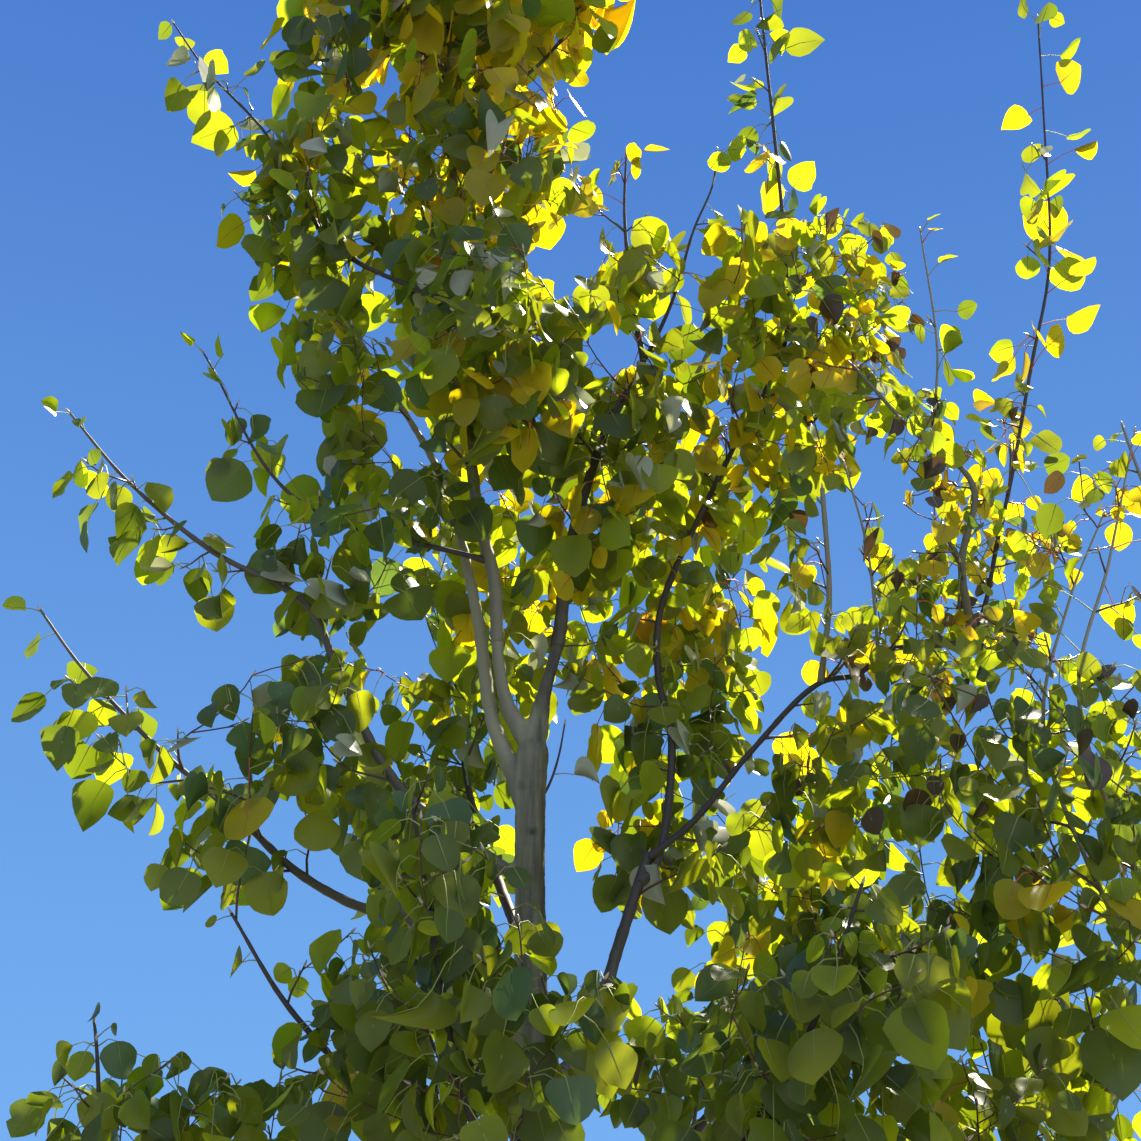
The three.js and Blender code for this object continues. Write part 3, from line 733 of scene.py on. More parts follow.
LEAFY_PX = [  # middle and reach of sprays that stand a little out of their masses
    ((605, 300), 24), ((420, 490), 26), ((320, 672), 22), ((1000, 620), 24), ((640, 765), 14),
    ((935, 940), 44), ((722, 850), 20), ((300, 1070), 24), ((585, 645), 16), ((930, 660), 22),
    ((1040, 540), 20), ((925, 400), 20), ((650, 260), 16), ((735, 230), 16), ((1010, 430), 16),
    ((600, 985), 20), ((255, 720), 14), ((225, 1090), 18), ((428, 795), 30), ((475, 845), 20)]
STANDS_OUT = 0.045
TIP_FROM_GAP_PX, LEAF_FROM_GAP_PX, LEAF_FROM_SPRAY_PX = 4, 10, 12
TRIES = 40  # for each tip that there could be room for

masses = {name: item for name, item in frame["nodes"].items() if name.startswith("leaves_")}
mass_names = sorted(masses)
print("masses", len(masses), "sky gaps", len(SKY_GAPS_PX), "sprays that stand out", len(LEAFY_PX))

# %% Scatter twig tips in the masses


def shows_in(points, spots, wider=0):
    """Whether each point shows in one of a list of round spots of the photograph."""
    pixels = seen_at(points)
    inside = [np.linalg.norm(pixels - middle, axis=-1) < reach + wider for middle, reach in spots]
    return np.any(inside, axis=0)


def dry_at(points):
    """How short of water each place is, from 0 to 1."""
    away = [(((points - middle) / reach) ** 2).sum(axis=-1) for middle, reach in np.array(DRY_PLACES)]
    return np.max(np.exp(-np.array(away)), axis=0)


def deep_inside(tree, point):
    """How far a point is inside a closed solid, or a negative number outside it."""
    spot, normal, _, distance = tree.find_nearest(Vector(point))
    return distance if (spot - Vector(point)).dot(normal) > 0 else -distance


rng = np.random.default_rng(2026)
depsgraph = bpy.context.evaluated_depsgraph_get()
surfaces = {name: BVHTree.FromObject(item, depsgraph) for name, item in masses.items()}
tips = []
grid = {}  # the tips by the cube of space they are in, so that only near ones are compared
for name in mass_names:
    low, high = (np.array(corner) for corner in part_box(name))
    low, high = low - STANDS_OUT, high + STANDS_OUT
    tries = int(np.prod(high - low) / TIP_GAP ** 3 * TRIES)
    places = rng.uniform(low, high, size=(tries, 3))
    places = places[~shows_in(places, SKY_GAPS_PX, TIP_FROM_GAP_PX)]
    gaps = TIP_GAP * (1 - DRY_CLOSER * dry_at(places))
    for point, gap, leafy in zip(places, gaps, shows_in(places, LEAFY_PX)):
        home = tuple((point // TIP_GAP).astype(int))
        near = [grid.get(cell, []) for cell in product(*((i - 1, i, i + 1) for i in home))]
        if any(np.linalg.norm(point - other) < gap for group in near for other in group):
            continue
        depth = deep_inside(surfaces[name], point)
        if depth < (-STANDS_OUT if leafy else SKIN):
            continue
        lowest = deep_inside(surfaces[name], point - HANG * UP)
        chance = 1 if leafy else SPARSE.get(name, 1) * (INNER_SHARE if depth > INNER else 1)
        if lowest > (-2 * STANDS_OUT if leafy else 0) and rng.random() < chance:
            grid.setdefault(home, []).append(point)
            tips.append(point)
tips = np.array(tips)
print("twig tips", len(tips))

# %% [markdown]
# ## Growing the twigs
#
# The rule is greedy, and works from the limbs outwards. Of all tips not yet reached,
# the one nearest to living wood is grown next. It joins the spot that costs least:
# close, in line with the way that wood grows, and not above the tip, because poplar
# twigs rise. The new twig leaves its parent at an angle and bends upwards, and from
# then on other twigs may grow from it.

# %% Wood, and what a twig costs
WOOD_STEP = 0.022
FIRST_TWIG, TRUNK_FIRST_TWIG, TWIG_FIRST_TWIG = 0.08, 1.12, 0.03  # bare length at a stem's butt
SHARP_TURN_COST = 0.9
FALLING_COST = 1.3
LEAST_RISE = 0.25  # sine of the rise below which a twig counts as falling
CROWDED_COST, CROWDED_SPOTS = 0.012, 2
TWIG_STEP, TWIG_WOBBLE = 0.02, 0.012
SPUR_GAP = 0.052
SPUR_MM = (8, 34)
SPUR_WOOD_MM = (1.6, 9.5)  # radius of the wood that bears spurs
SPUR_TRIES = 80
SPUR_STAND_OUT = 0.02


class Wood:
    """Spots along living wood from which a twig may grow."""

    def __init__(self, room=60000):
        self.place = np.zeros((room, 3))
        self.ahead = np.zeros((room, 3))
        self.owner = np.zeros(room, dtype=int)
        self.along = np.zeros(room)
        self.taken = np.zeros(room)
        self.count = 0

    def add_stem(self, line, first, owner):
        """Adds spots along a stem. Returns which they are."""
        along = np.arange(first, line.length, WOOD_STEP)
        spots = slice(self.count, self.count + len(along))
        self.place[spots], self.ahead[spots] = line.at(along), line.towards(along)
        self.owner[spots], self.along[spots] = owner, along
        self.count = spots.stop
        return spots


wood = Wood()
stems = []  # every limb and twig: its line, its parent stem and where it leaves it
for name, line in lines.items():
    parent = next((i for i, s in enumerate(stems) if s["name"] == LIMBS[name].get("carrier")), None)
    stems.append(dict(name=name, line=line, parent=parent, start=LIMBS[name].get("at", 0) * MM, load=0))
    wood.add_stem(line, TRUNK_FIRST_TWIG if name == "trunk" else FIRST_TWIG, len(stems) - 1)


def twig_cost(tip, spots):
    """What a twig to a tip costs from each spot of wood: its length, and more if it turns or falls."""
    gap = tip - wood.place[spots]
    far = np.linalg.norm(gap, axis=-1) + 1e-9
    turn = 1 - (gap * wood.ahead[spots]).sum(axis=-1) / far
    falls = np.maximum(0, LEAST_RISE - gap[..., 2] / far)
    return far * (1 + SHARP_TURN_COST * turn ** 2 + FALLING_COST * falls)


def cheapest_spot(tip):
    """The spot of wood where a twig to this tip costs least, and that cost."""
    spots = slice(0, wood.count)
    cost = twig_cost(tip, spots) + CROWDED_COST * wood.taken[spots]
    best = int(np.argmin(cost))
    return best, cost[best]


def twig_line(spot, tip):
    """A curve that leaves its parent at an angle and bends up to its tip."""
    start, ahead = wood.place[spot], wood.ahead[spot]
    far = np.linalg.norm(tip - start)
    straight = (tip - start) / far
    leave = unit(0.35 * ahead + 0.75 * straight - 0.10 * UP) * far
    arrive = unit(straight + 0.45 * UP) * far
    t = np.linspace(0, 1, max(5, int(far / TWIG_STEP)))[:, None]
    curve = (start * (2 * t ** 3 - 3 * t ** 2 + 1) + leave * (t ** 3 - 2 * t ** 2 + t)
             + tip * (3 * t ** 2 - 2 * t ** 3) + arrive * (t ** 3 - t ** 2))
    wobble = rng.normal(scale=TWIG_WOBBLE * far, size=3)
    return Line(curve + np.sin(np.pi * t) ** 2 * wobble)


def mass_at(point):
    """How deep a point is in the mass that it is deepest in, and that mass."""
    return max((deep_inside(surfaces[name], point), name) for name in mass_names)


# %% [markdown]
# Older wood also bears spurs: short shoots that stand nearly straight off it, with a few
# leaves each. They come first, and then the twigs, one for each tip.

# %% Grow spurs and twigs


def spurs_on(index):
    """Grows spurs along a limb, wherever it runs through leaves."""
    line = stems[index]["line"]
    distances = np.cumsum(rng.uniform(0.6, 1.4, size=SPUR_TRIES) * SPUR_GAP)
    for distance in distances[distances < line.length - 0.02]:
        wood_mm = limb_radius(stems[index]["name"], distance / line.length) / MM
        place, ahead = line.at(distance), line.towards(distance)
        depth, mass = mass_at(place)
        bears = SPUR_WOOD_MM[0] < wood_mm < SPUR_WOOD_MM[1] and depth >= -SPUR_STAND_OUT
        if not bears or SPARSE.get(mass, 1) < 0.5:
            continue
        off = rng.normal(size=3) + 0.4 * UP
        off = unit(off - ahead * off.dot(ahead)) + 0.35 * ahead
        length = (rng.uniform(*SPUR_MM) + wood_mm) * MM
        spur = Line(np.array([place, place + off * length * 0.5, place + off * length + 0.002 * UP]))
        stems.append(dict(name="twig", line=spur, parent=index, start=distance, load=0))


for index in range(1, len(LIMBS)):
    spurs_on(index)
print("spurs", len(stems) - len(LIMBS))

costs = np.array([cheapest_spot(tip)[1] for tip in tips])
waiting = np.ones(len(tips), dtype=bool)
for _ in range(len(tips)):
    choice = int(np.argmin(np.where(waiting, costs, np.inf)))
    waiting[choice] = False
    spot, _ = cheapest_spot(tips[choice])
    line = twig_line(spot, tips[choice])
    stems.append(dict(name="twig", line=line, parent=int(wood.owner[spot]), start=wood.along[spot], load=0))
    wood.taken[max(0, spot - CROWDED_SPOTS):spot + CROWDED_SPOTS + 1] += 1
    fresh = wood.add_stem(line, TWIG_FIRST_TWIG, len(stems) - 1)
    if fresh.stop > fresh.start:
        costs = np.minimum(costs, twig_cost(tips[:, None], fresh).min(axis=1))
twigs = [s for s in stems if s["name"] == "twig"]
print("twigs", len(twigs), "mean length", round(float(np.mean([s["line"].length for s in twigs])), 3))

# %% [markdown]
# A stem must be thick enough for what it carries. Walking back from the last twig to
# the first, each adds its load to its parent, and a twig's girth is worked out from
# the load.

# %% Twig thickness
TIP_RADIUS = 0.0011
LOAD_RADIUS = 0.00095  # how much a twig thickens with the root of its load
LOAD_LENGTH = 0.15  # a stem of this length is a load of 1
OLD_TWIG = 0.0024  # a twig of a larger radius has older, browner bark
RING_GAP, TWIG_SIDES = 0.024, 5

for stem in reversed(stems):
    stem["load"] += stem["line"].length / LOAD_LENGTH
    if stem["parent"] is not None:
        stems[stem["parent"]]["load"] += stem["load"]


def stem_radius(stem, share):
    if stem["name"] != "twig":
        return limb_radius(stem["name"], share)
    butt = TIP_RADIUS + LOAD_RADIUS * stem["load"] ** 0.5
    if stem["parent"] is not None:
        parent = stems[stem["parent"]]
        butt = min(butt, 0.85 * stem_radius(parent, min(0.97, stem["start"] / parent["line"].length)))
    return TIP_RADIUS + (butt - TIP_RADIUS) * (1 - share) ** 0.8


old_twigs, young_twigs = Heap(), Heap()
for stem in twigs:
    line = stem["line"]
    share = np.linspace(0, 1, max(4, int(line.length / RING_GAP)))
    radii = np.array([stem_radius(stem, s) for s in share])
    heap = old_twigs if radii[0] > OLD_TWIG else young_twigs
    heap.put(*tube(line.at(share * line.length), radii, TWIG_SIDES))
old_twigs = old_twigs.make("twigs_old")
young_twigs = young_twigs.make("twigs_young")
print("twig triangles", triangles_of(old_twigs), triangles_of(young_twigs))

# %% [markdown]
# ## Where each leaf sits
#
# Leaves stand alternately round a shoot, each turned 137.5 degrees from the last. They
# grow along the outer part of every twig and on the thin ends of boughs. Each one hangs
# from a long, thin stalk. Inside the crown the blades hang with their tips down, and on
# the strong shoots that stand out of it they are held outwards.

# %% Leaf places
GOLDEN_TURN = math.radians(137.5)
FIRST_GAP, GAP_GROWS = 0.0065, 0.0017  # leaves crowd at a shoot's tip and thin out behind it
MOST_LEAVES, FEWEST_LEAVES = 14, 3  # on a twig
BARE_SHARE = 0.12
THIN_LIMB = 0.0036  # radius under which a bough bears leaves itself
LIMB_LEAF_GAP = 0.058
LIMB_STANDS_OUT = 0.10  # how far outside the masses a bough may still bear leaves
STALK = 0.050

rng = np.random.default_rng(77)
seats = dict(place=[], out=[], along=[], vigour=[], youth=[], spray=[])


def sit(stem_index, line, distances, vigour):
    """Adds a leaf at each distance along a line."""
    first = rng.uniform(0, 2 * np.pi)
    for k, distance in enumerate(distances):
        ahead = line.towards(distance)
        side = unit(np.cross(ahead, [0.2, 0.3, 0.93]))
        over = np.cross(ahead, side)
        turn = first + k * GOLDEN_TURN + rng.normal(scale=0.25)
        seats["place"].append(line.at(distance))
        seats["out"].append(math.cos(turn) * side + math.sin(turn) * over)
        seats["along"].append(ahead)
        seats["vigour"].append(vigour)
        seats["youth"].append(max(0.0, 1 - (line.length - distance) / (0.10 + 0.16 * vigour)))
        seats["spray"].append(stem_index)


def leafy_tip(line):
    """Distances for the leaves of a twig, crowded at its tip."""
    steps = np.arange(MOST_LEAVES)
    back = 0.002 + FIRST_GAP * steps + GAP_GROWS * steps ** 2
    back = back * rng.uniform(0.85, 1.15, size=len(steps))
    some = np.maximum(FEWEST_LEAVES, (back < (1 - BARE_SHARE) * line.length).sum())
    return np.maximum(0.004, line.length - back[:some])


def leafy(first, last, gap):
    """Distances for leaves one after the other along a stem."""
    steps = np.cumsum(rng.uniform(0.7, 1.3, size=400) * gap) + first
    return steps[steps < last]


for index, stem in enumerate(stems):
    line = stem["line"]
    if stem["name"] == "twig":
        sit(index, line, leafy_tip(line), 0.0)
        continue
    share = np.linspace(0, 1, 200)
    thin = share[limb_radius(stem["name"], share) < THIN_LIMB] if stem["name"] != "trunk" else []
    if len(thin):
        last = line.length - 0.004
        for distance in np.append(leafy(thin[0] * line.length, last, LIMB_LEAF_GAP), last):
            if mass_at(line.at(distance))[0] > -LIMB_STANDS_OUT:
                sit(index, line, [distance], 1.0)
seats = {key: np.array(values) for key, values in seats.items()}
print("leaves", len(seats["place"]))

# %% [markdown]
# ## The shape of a leaf
#
# A poplar blade is nearly round, with a flat foot, a short point and a scalloped edge.
# The mesh follows the real leaf: its rows run from the midrib out along the side veins,
# every second row raised a little, so that light catches the quilting. All leaves are
# bent at once in arrays. Each gets its own size, width, fold, cup, droop and wave. Some
# are curled, as dry leaves are, and some were eaten from the edge by an insect.

# %% One flat blade
EDGE = np.array([  # half a leaf's edge, from foot to tip, in blade lengths: across and along
    (0.00, 0.00), (0.19, -0.018), (0.37, 0.025), (0.485, 0.135), (0.535, 0.285), (0.532, 0.440),
    (0.495, 0.600), (0.415, 0.745), (0.290, 0.862), (0.135, 0.940), (0.00, 0.985)])
SCALLOP = 0.022  # every second point of the edge is this share of its width further in
QUILT = 0.011  # every second row is raised this much
ROWS = len(EDGE)
MIDRIB = np.linspace(0, 1, ROWS) ** 1.12
COLUMNS = (-1.0, -0.52, 0.0, 0.52, 1.0)  # shares of the way from the midrib to the edge


def blade_pattern():
    """One flat blade: (across, along, quilt) for each point, and its quads."""
    points, index = [], {}
    for row, (wide, high) in enumerate(EDGE):
        for column, share in enumerate(COLUMNS):
            edge = abs(share)
            notch = 1 - (SCALLOP if row % 2 and edge == 1 else 0)
            across = math.copysign(wide * edge * notch, share)
            along = MIDRIB[row] + (high - MIDRIB[row]) * edge
            quilt = (1 if row % 2 else -1) * edge * (1.6 - 1.2 * edge) if 0 < row < ROWS - 1 else 0
            if row in (0, ROWS - 1):
                index[row, column] = index.get((row, 0), len(points))
                if column:
                    continue
            else:
                index[row, column] = len(points)
            points.append((across, along, quilt))
    quads, triangles = [], []
    for row in range(ROWS - 1):
        for column in range(len(COLUMNS) - 1):
            cell = [index[row + up, column + on] for up, on in ((0, 0), (0, 1), (1, 1), (1, 0))]
            kept = list(dict.fromkeys(cell))
            (quads if len(kept) == 4 else triangles).append(kept)
    return np.array(points), np.array(quads), np.array(triangles)


PATTERN, BLADE_QUADS, BLADE_TRIANGLES = blade_pattern()
print("a blade has", len(PATTERN), "points")

# %% How each blade differs
BLADE_MM = (62, 88)  # the length of a full-grown blade
STRONG_TOP = 0.28  # blades on the strong upper shoots are this much longer
STRONG_FROM, STRONG_OVER = 2.2, 1.6  # the height where that starts, and the height over which it grows
DRY_SHRINKS = 0.38  # blades on the boughs short of water are this much shorter
VIGOUR_SHRINKS = 0.22  # and so are those on the thin ends of boughs
YOUTH_SHRINKS = 0.60  # and the youngest leaves at a tip
CURLED, SMALL, EATEN = 0.17, 0.18, 0.10  # shares of the leaves
ANY_PHASE = (0, 6.28)  # where a wave along a blade starts
count = len(seats["place"])
rng = np.random.default_rng(303)


def spread(low, high):
    """A seeded number for each leaf."""
    return rng.uniform(low, high, size=count)


youth, vigour = seats["youth"], seats["vigour"]
strong = 1 + STRONG_TOP * np.clip((seats["place"][:, 2] - STRONG_FROM) / STRONG_OVER, 0, 1)
length = spread(*BLADE_MM) * MM * strong * (1 - YOUTH_SHRINKS * youth * spread(0.5, 1.0))
length *= np.where(rng.random(count) < SMALL, spread(0.55, 0.85), 1)
dryness = dry_at(seats["place"])
length *= (1 - DRY_SHRINKS * dryness) * (1 - VIGOUR_SHRINKS * vigour)
fold = np.where(rng.random(count) < CURLED, spread(0.8, 2.2), spread(-0.08, 0.34))
curled = fold > 0.5
width = length * spread(0.88, 1.04) * np.where(curled, 0.8, 1)
cup = spread(-0.30, 0.55)
droop = spread(-0.25, 0.40) + np.where(curled, spread(-0.5, 0.6), 0)
wave, wave_phase = spread(0.0, 0.07), spread(*ANY_PHASE)
point = spread(-0.05, 0.22)
full_foot = spread(-0.04, 0.34)  # how far the foot's corners are drawn up, from heart-shaped to round
narrows = spread(-0.12, 0.18)
ripple, ripple_phase = spread(0.0, 0.045), spread(*ANY_PHASE)
bite = np.where(rng.random(count) < EATEN, spread(0.15, 0.5), 0)  # where an insect ate from the edge
bite_at, bite_side = spread(0.15, 0.85), np.sign(spread(-1, 1))
print("mean blade", round(float(length.mean()) / MM), "mm, curled", int(curled.sum()))

# %% [markdown]
# A leafstalk leaves its twig sideways and a little forwards. The blade hangs from its end,
# more so where the shoot is weak, and turns its face outwards and up to the light. Each of
# these directions is a mixture by weight, with some chance in it.

# %% How each blade hangs
STALK_CHANCE, HANG_CHANCE, FACE_CHANCE = 0.15, 0.22, 0.50
level = seats["out"] * [1, 1, 0.4]
outwards = unit(level + 0.8 * unit(seats["place"] * [1, 1, 0] + [1e-6, 0, 0]))
leave = unit(seats["out"] * 0.85 + seats["along"] * 0.35 + UP * 0.05
             + rng.normal(scale=STALK_CHANCE, size=(count, 3)))
stalk = STALK * spread(0.75, 1.25) * (1 - 0.4 * youth)
sag = (0.42 - 0.30 * vigour) * stalk
foot = seats["place"] + leave * stalk[:, None] - UP * sag[:, None]
hang = spread(0.55, 1.75) * (1 - 0.75 * vigour) - 0.25 * vigour
axis = unit(leave * [1, 1, 0.3] * 0.75 - UP * hang[:, None]
            + rng.normal(scale=HANG_CHANCE, size=(count, 3)))
facing = outwards * 0.55 + UP * 0.26 + rng.normal(scale=FACE_CHANCE, size=(count, 3))
facing = unit(facing - axis * (facing * axis).sum(axis=1, keepdims=True))
aside = np.cross(axis, facing)
bends = (width / length, bite, bite_at, bite_side, ripple, ripple_phase, narrows, full_foot, point,
         fold, cup, droop, wave, wave_phase, length)
print("mean stalk", round(float(stalk.mean()) / MM), "mm")

# %% Lay the blades in the crown
MARGIN_SHARE, MARGIN = 0.03, 0.008  # how far outside the frame's box a blade may be
STRAY = 0.030  # how far outside the masses a blade's middle may be
STRAY_LIMB, STRAY_SPRAY = 0.12, 0.06  # more on the ends of boughs and on sprays that stand out
BITE_REACH = 0.09
FOOT_REACH, POINT_FROM = 0.3, 0.9  # where the foot ends and the point starts, in blade lengths
RIPPLES, WAVES = 11, 7  # radians along a blade


def lie(across, along, quilt):
    """Points on every leaf's blade, from its own flat coordinates to the tree."""
    (wide, bite, bite_at, bite_side, ripple, ripple_phase, narrows, full_foot, point,
     fold, cup, droop, wave, wave_phase, length) = (values[:, None] for values in bends)
    x, y = across[None] * wide, along[None]
    side = np.sign(x)
    eaten = bite * (side == bite_side) * bump(y - bite_at, BITE_REACH)
    rippled = ripple * np.sin(RIPPLES * y + ripple_phase + 2 * side)
    x = x * (1 - narrows * (y - 0.35) + rippled - eaten)
    y = (y + full_foot * np.abs(x) * bump(y, FOOT_REACH)
         + np.where(y > POINT_FROM, (y - POINT_FROM) * 6 * point, 0))
    waved = wave * np.sin(WAVES * y + wave_phase + side * 1.3) * np.abs(x) * 2
    lift = fold * np.abs(x) + cup * x ** 2 - droop * y ** 2 + QUILT * quilt[None] + waved
    shrink = 1 / np.sqrt(1 + fold ** 2 + (1.2 * droop * y) ** 2)
    x, y, lift = (v * length for v in (x * shrink, y * np.sqrt(shrink), lift))
    return (foot[:, None] + aside[:, None] * x[..., None] + axis[:, None] * y[..., None]
            + facing[:, None] * lift[..., None])


blades = lie(PATTERN[:, 0], PATTERN[:, 1], PATTERN[:, 2])
low, high = np.array(CAD_BOX)
margin = MARGIN_SHARE * (high - low) + MARGIN
kept = ((blades > low - margin) & (blades < high + margin)).all(axis=(1, 2))
print("leaves inside the size rule", int(kept.sum()), "of", count)
middles = blades.mean(axis=1)
depths = np.array([mass_at(spot)[0] for spot in middles])
on_spray = shows_in(middles, LEAFY_PX, LEAF_FROM_SPRAY_PX)
kept &= depths > -STRAY * spread(0.2, 2.0) - STRAY_LIMB * vigour - STRAY_SPRAY * on_spray
kept &= ~shows_in(middles, SKY_GAPS_PX, LEAF_FROM_GAP_PX)
print("leaves near their masses", int(kept.sum()))

# %% [markdown]
# ## Autumn, dealt out by spray
#
# Colour comes first to the sunlit top and to the ends of strong shoots. So each spray
# draws a tint by its place in the crown, and most of its leaves keep that tint. Where the
# crown is in its own shade, low down and on the left, the sprays draw darker greens: that
# is painted shade. The sky-sheen green tint is a painted reflection of the sky on the wax.
# A few differ, as on the tree: one leaf may be gold on a green twig, some curled ones hang
# with the pale side out, and on dry boughs some are withered. The pale side is partly a
# painted glint, and it shows less in the crown's shade, as painted shade. Each tint is a
# plain colour, and its leaves are one mesh.

# %% Tints
TINTS = {  # colour of the face and of light that shines through, the share that does, the odds of the
    # tint in the shady, the green and the turned parts of the crown, and its slot in the frame
    "deep": ("#414E20", "#869A14", 0.40, (0.42, 0.15, 0.05), "leaf_green"),
    "olive": ("#5A6426", "#A6AE12", 0.52, (0.34, 0.28, 0.12), "leaf_green"),
    # A green with a painted reflection of the sky on its wax
    "sky_sheen_green": ("#465A38", "#7C9A34", 0.34, (0.07, 0.06, 0.02), "leaf_green"),
    "lime": ("#707C26", "#B8C814", 0.62, (0.14, 0.30, 0.23), "leaf_light"),
    "yellow_green": ("#908C20", "#DCC60C", 0.64, (0.03, 0.17, 0.35), "leaf_light"),
    "gold": ("#BCAE22", "#EECC10", 0.64, (0, 0.04, 0.22), "leaf_gold"),
    "amber": ("#B08A1C", "#E8A80C", 0.56, (0, 0, 0.01), "leaf_gold"),
    # Pale backs of curled leaves, partly their real colour and partly a painted glint of the sun
    "silver": ("#A6AA92", "#B0B67C", 0.34, (0, 0, 0), "leaf_light"),
    "withered": ("#4A3D2E", "#7A5C24", 0.18, (0, 0, 0), "leaf_gold"),
}
names = list(TINTS)
SHADY_CROWN, GREEN_CROWN, TURNED_CROWN = np.transpose([odds for _, _, _, odds, _ in TINTS.values()])
# The crown's own shade is painted into its leaves: below these heights the sprays draw darker greens
SHADE_FROM, SHADE_TO = 2.45, 1.95  # the crown is in its own shade below these heights
SHADE_RISES, LEFT_EDGE = 0.8, 0.35  # and higher up on the left, away from the sun
KEEPS_SPRAY = 0.62  # share of the leaves that have the tint of their spray
PALE_BACK_AND_GLINT_SHARE = 0.32  # of the curled leaves, which show their pale backs. Their whiteness is partly a painted glint
WITHERED_SHARE, WITHERED_DRY, WITHERED_CURLED = 0.001, 0.09, 0.3  # anywhere, and more on dry boughs
GOLD_PLACES = [  # middle, reach in metres and strength of the parts that have turned
    ((0.03, 0.0, 3.62), (0.24, 0.35, 0.45), 1.0),
    ((0.42, 0.0, 2.95), (0.20, 0.30, 0.42), 0.75),
    ((0.75, 0.0, 2.55), (0.30, 0.40, 0.30), 0.55),
    ((-0.14, 0.0, 4.35), (0.30, 0.40, 0.55), 0.9),
]


def turned(places):
    """How far autumn has come at each place, from 0 to 1."""
    return np.max([strength * np.exp(-(((places - middle) / reach) ** 2).sum(axis=1))
                   for middle, reach, strength in GOLD_PLACES], axis=0)


rng = np.random.default_rng(91)
autumn = turned(seats["place"])[:, None]
x, y, z = seats["place"].T
# Painted shade: how far each leaf is in the crown's own shade, which gives its spray darker tints
shade_from = SHADE_FROM + SHADE_RISES * np.clip(-x / LEFT_EDGE, 0, 1)
painted_shade = np.clip((shade_from - z) / (SHADE_FROM - SHADE_TO), 0, 1)[:, None]
spray_chance = rng.random(seats["spray"].max() + 1)
odds = (SHADY_CROWN * painted_shade + GREEN_CROWN * (1 - painted_shade)) * (1 - autumn) + TURNED_CROWN * autumn
odds = np.cumsum(odds / odds.sum(axis=1, keepdims=True), axis=1)
keeps_spray = rng.random(count) < KEEPS_SPRAY
draw = np.where(keeps_spray, spray_chance[seats["spray"]], rng.random(count))
tint = (draw[:, None] > odds).sum(axis=1).clip(0, len(names) - 1)
# Fewer pale backs in the crown's own shade, which is painted shade
pale_back_and_glint_chance = PALE_BACK_AND_GLINT_SHARE * (1 - 0.7 * painted_shade[:, 0]) * (y > -0.3)
tint[curled & (rng.random(count) < pale_back_and_glint_chance)] = names.index("silver")
withered_chance = WITHERED_SHARE + (WITHERED_DRY + WITHERED_CURLED * curled) * dryness
tint[rng.random(count) < withered_chance] = names.index("withered")
print("tints", {name: int((tint[kept] == i).sum()) for i, name in enumerate(names)})

# %% [markdown]
# A leaf is thin and waxy on top. Part of the light bounces off its face, and part comes
# through and out of the other side, yellower than it went in. A Principled shader mixed
# with a Translucent one does both. The wax has an IOR near 1.45 and a satin roughness.

# %% Leaf materials and meshes


def leaf_blade(name, face, glow, clear):
    """Poplar leaf: waxy and half clear. The eye gets gloss on its face and a glow against the light."""
    material = new_material("poplar leaf " + name.replace("_", " "))
    wax = add(material, "ShaderNodeBsdfPrincipled", Base_Color=linear(face), Roughness=0.40, IOR=1.45)
    through = add(material, "ShaderNodeBsdfTranslucent", Color=linear(glow))
    blend = add(material, "ShaderNodeMixShader", {1: (wax, 0), 2: (through, 0)}, Fac=clear)
    return show(material, blend)


leaf_pieces = {}
for i, (name, (face, glow, clear, _, _)) in enumerate(TINTS.items()):
    chosen = np.flatnonzero(kept & (tint == i))
    start = (np.arange(len(chosen)) * len(PATTERN))[:, None, None]
    quads = (BLADE_QUADS[None] + start).reshape(-1, 4)
    triangles = (BLADE_TRIANGLES[None] + start).reshape(-1, 3)
    piece = mesh_object("leaves_" + name, blades[chosen].reshape(-1, 3), [quads, triangles])
    piece.data.materials.append(leaf_blade(name, face, glow, clear))
    leaf_pieces[name] = piece
print("leaf triangles", {name: triangles_of(p) for name, p in leaf_pieces.items()})

# %% [markdown]
# ## Stalks, midribs and buds
#
# A poplar's leafstalk is about as long as its blade, and runs on through the blade as
# the midrib. One thin three-sided tube makes both. Stalks are green on green leaves and
# coral red on gold ones. Each shoot ends in a pointed bud with silvery scales.

# %% Stalks
STALK_RADIUS = 0.00085
STALK_SIDES = 3
RIB_PLACES = np.array([0.0, 0.42, 0.88])

ribs = lie(np.zeros(len(RIB_PLACES)), RIB_PLACES, np.zeros(len(RIB_PLACES)))
bend = seats["place"] + leave * (0.55 * stalk)[:, None] - UP * (0.15 * sag)[:, None]
runs = np.concatenate([seats["place"][:, None], bend[:, None], ribs], axis=1)
run_radii = np.array([1.5, 1.0, 1.0, 0.7, 0.25]) * STALK_RADIUS


def stalks(chosen, name):
    """Three-sided tubes along the stalk and midrib of each chosen leaf."""
    line = runs[chosen]
    ahead = unit(np.gradient(line, axis=1))
    side = unit(np.cross(ahead, facing[chosen][:, None]))
    over = np.cross(side, ahead)
    rings = [line + (math.cos(turn) * side + math.sin(turn) * over) * run_radii[None, :, None]
             for turn in 0.5 + turns(STALK_SIDES)]
    quads = ring_cells(line.shape[1], STALK_SIDES)[2][:, ::-1]
    start = (np.arange(len(chosen)) * line.shape[1] * STALK_SIDES)[:, None, None]
    return mesh_object(name, np.stack(rings, axis=2).reshape(-1, 3), [(quads[None] + start).reshape(-1, 4)])


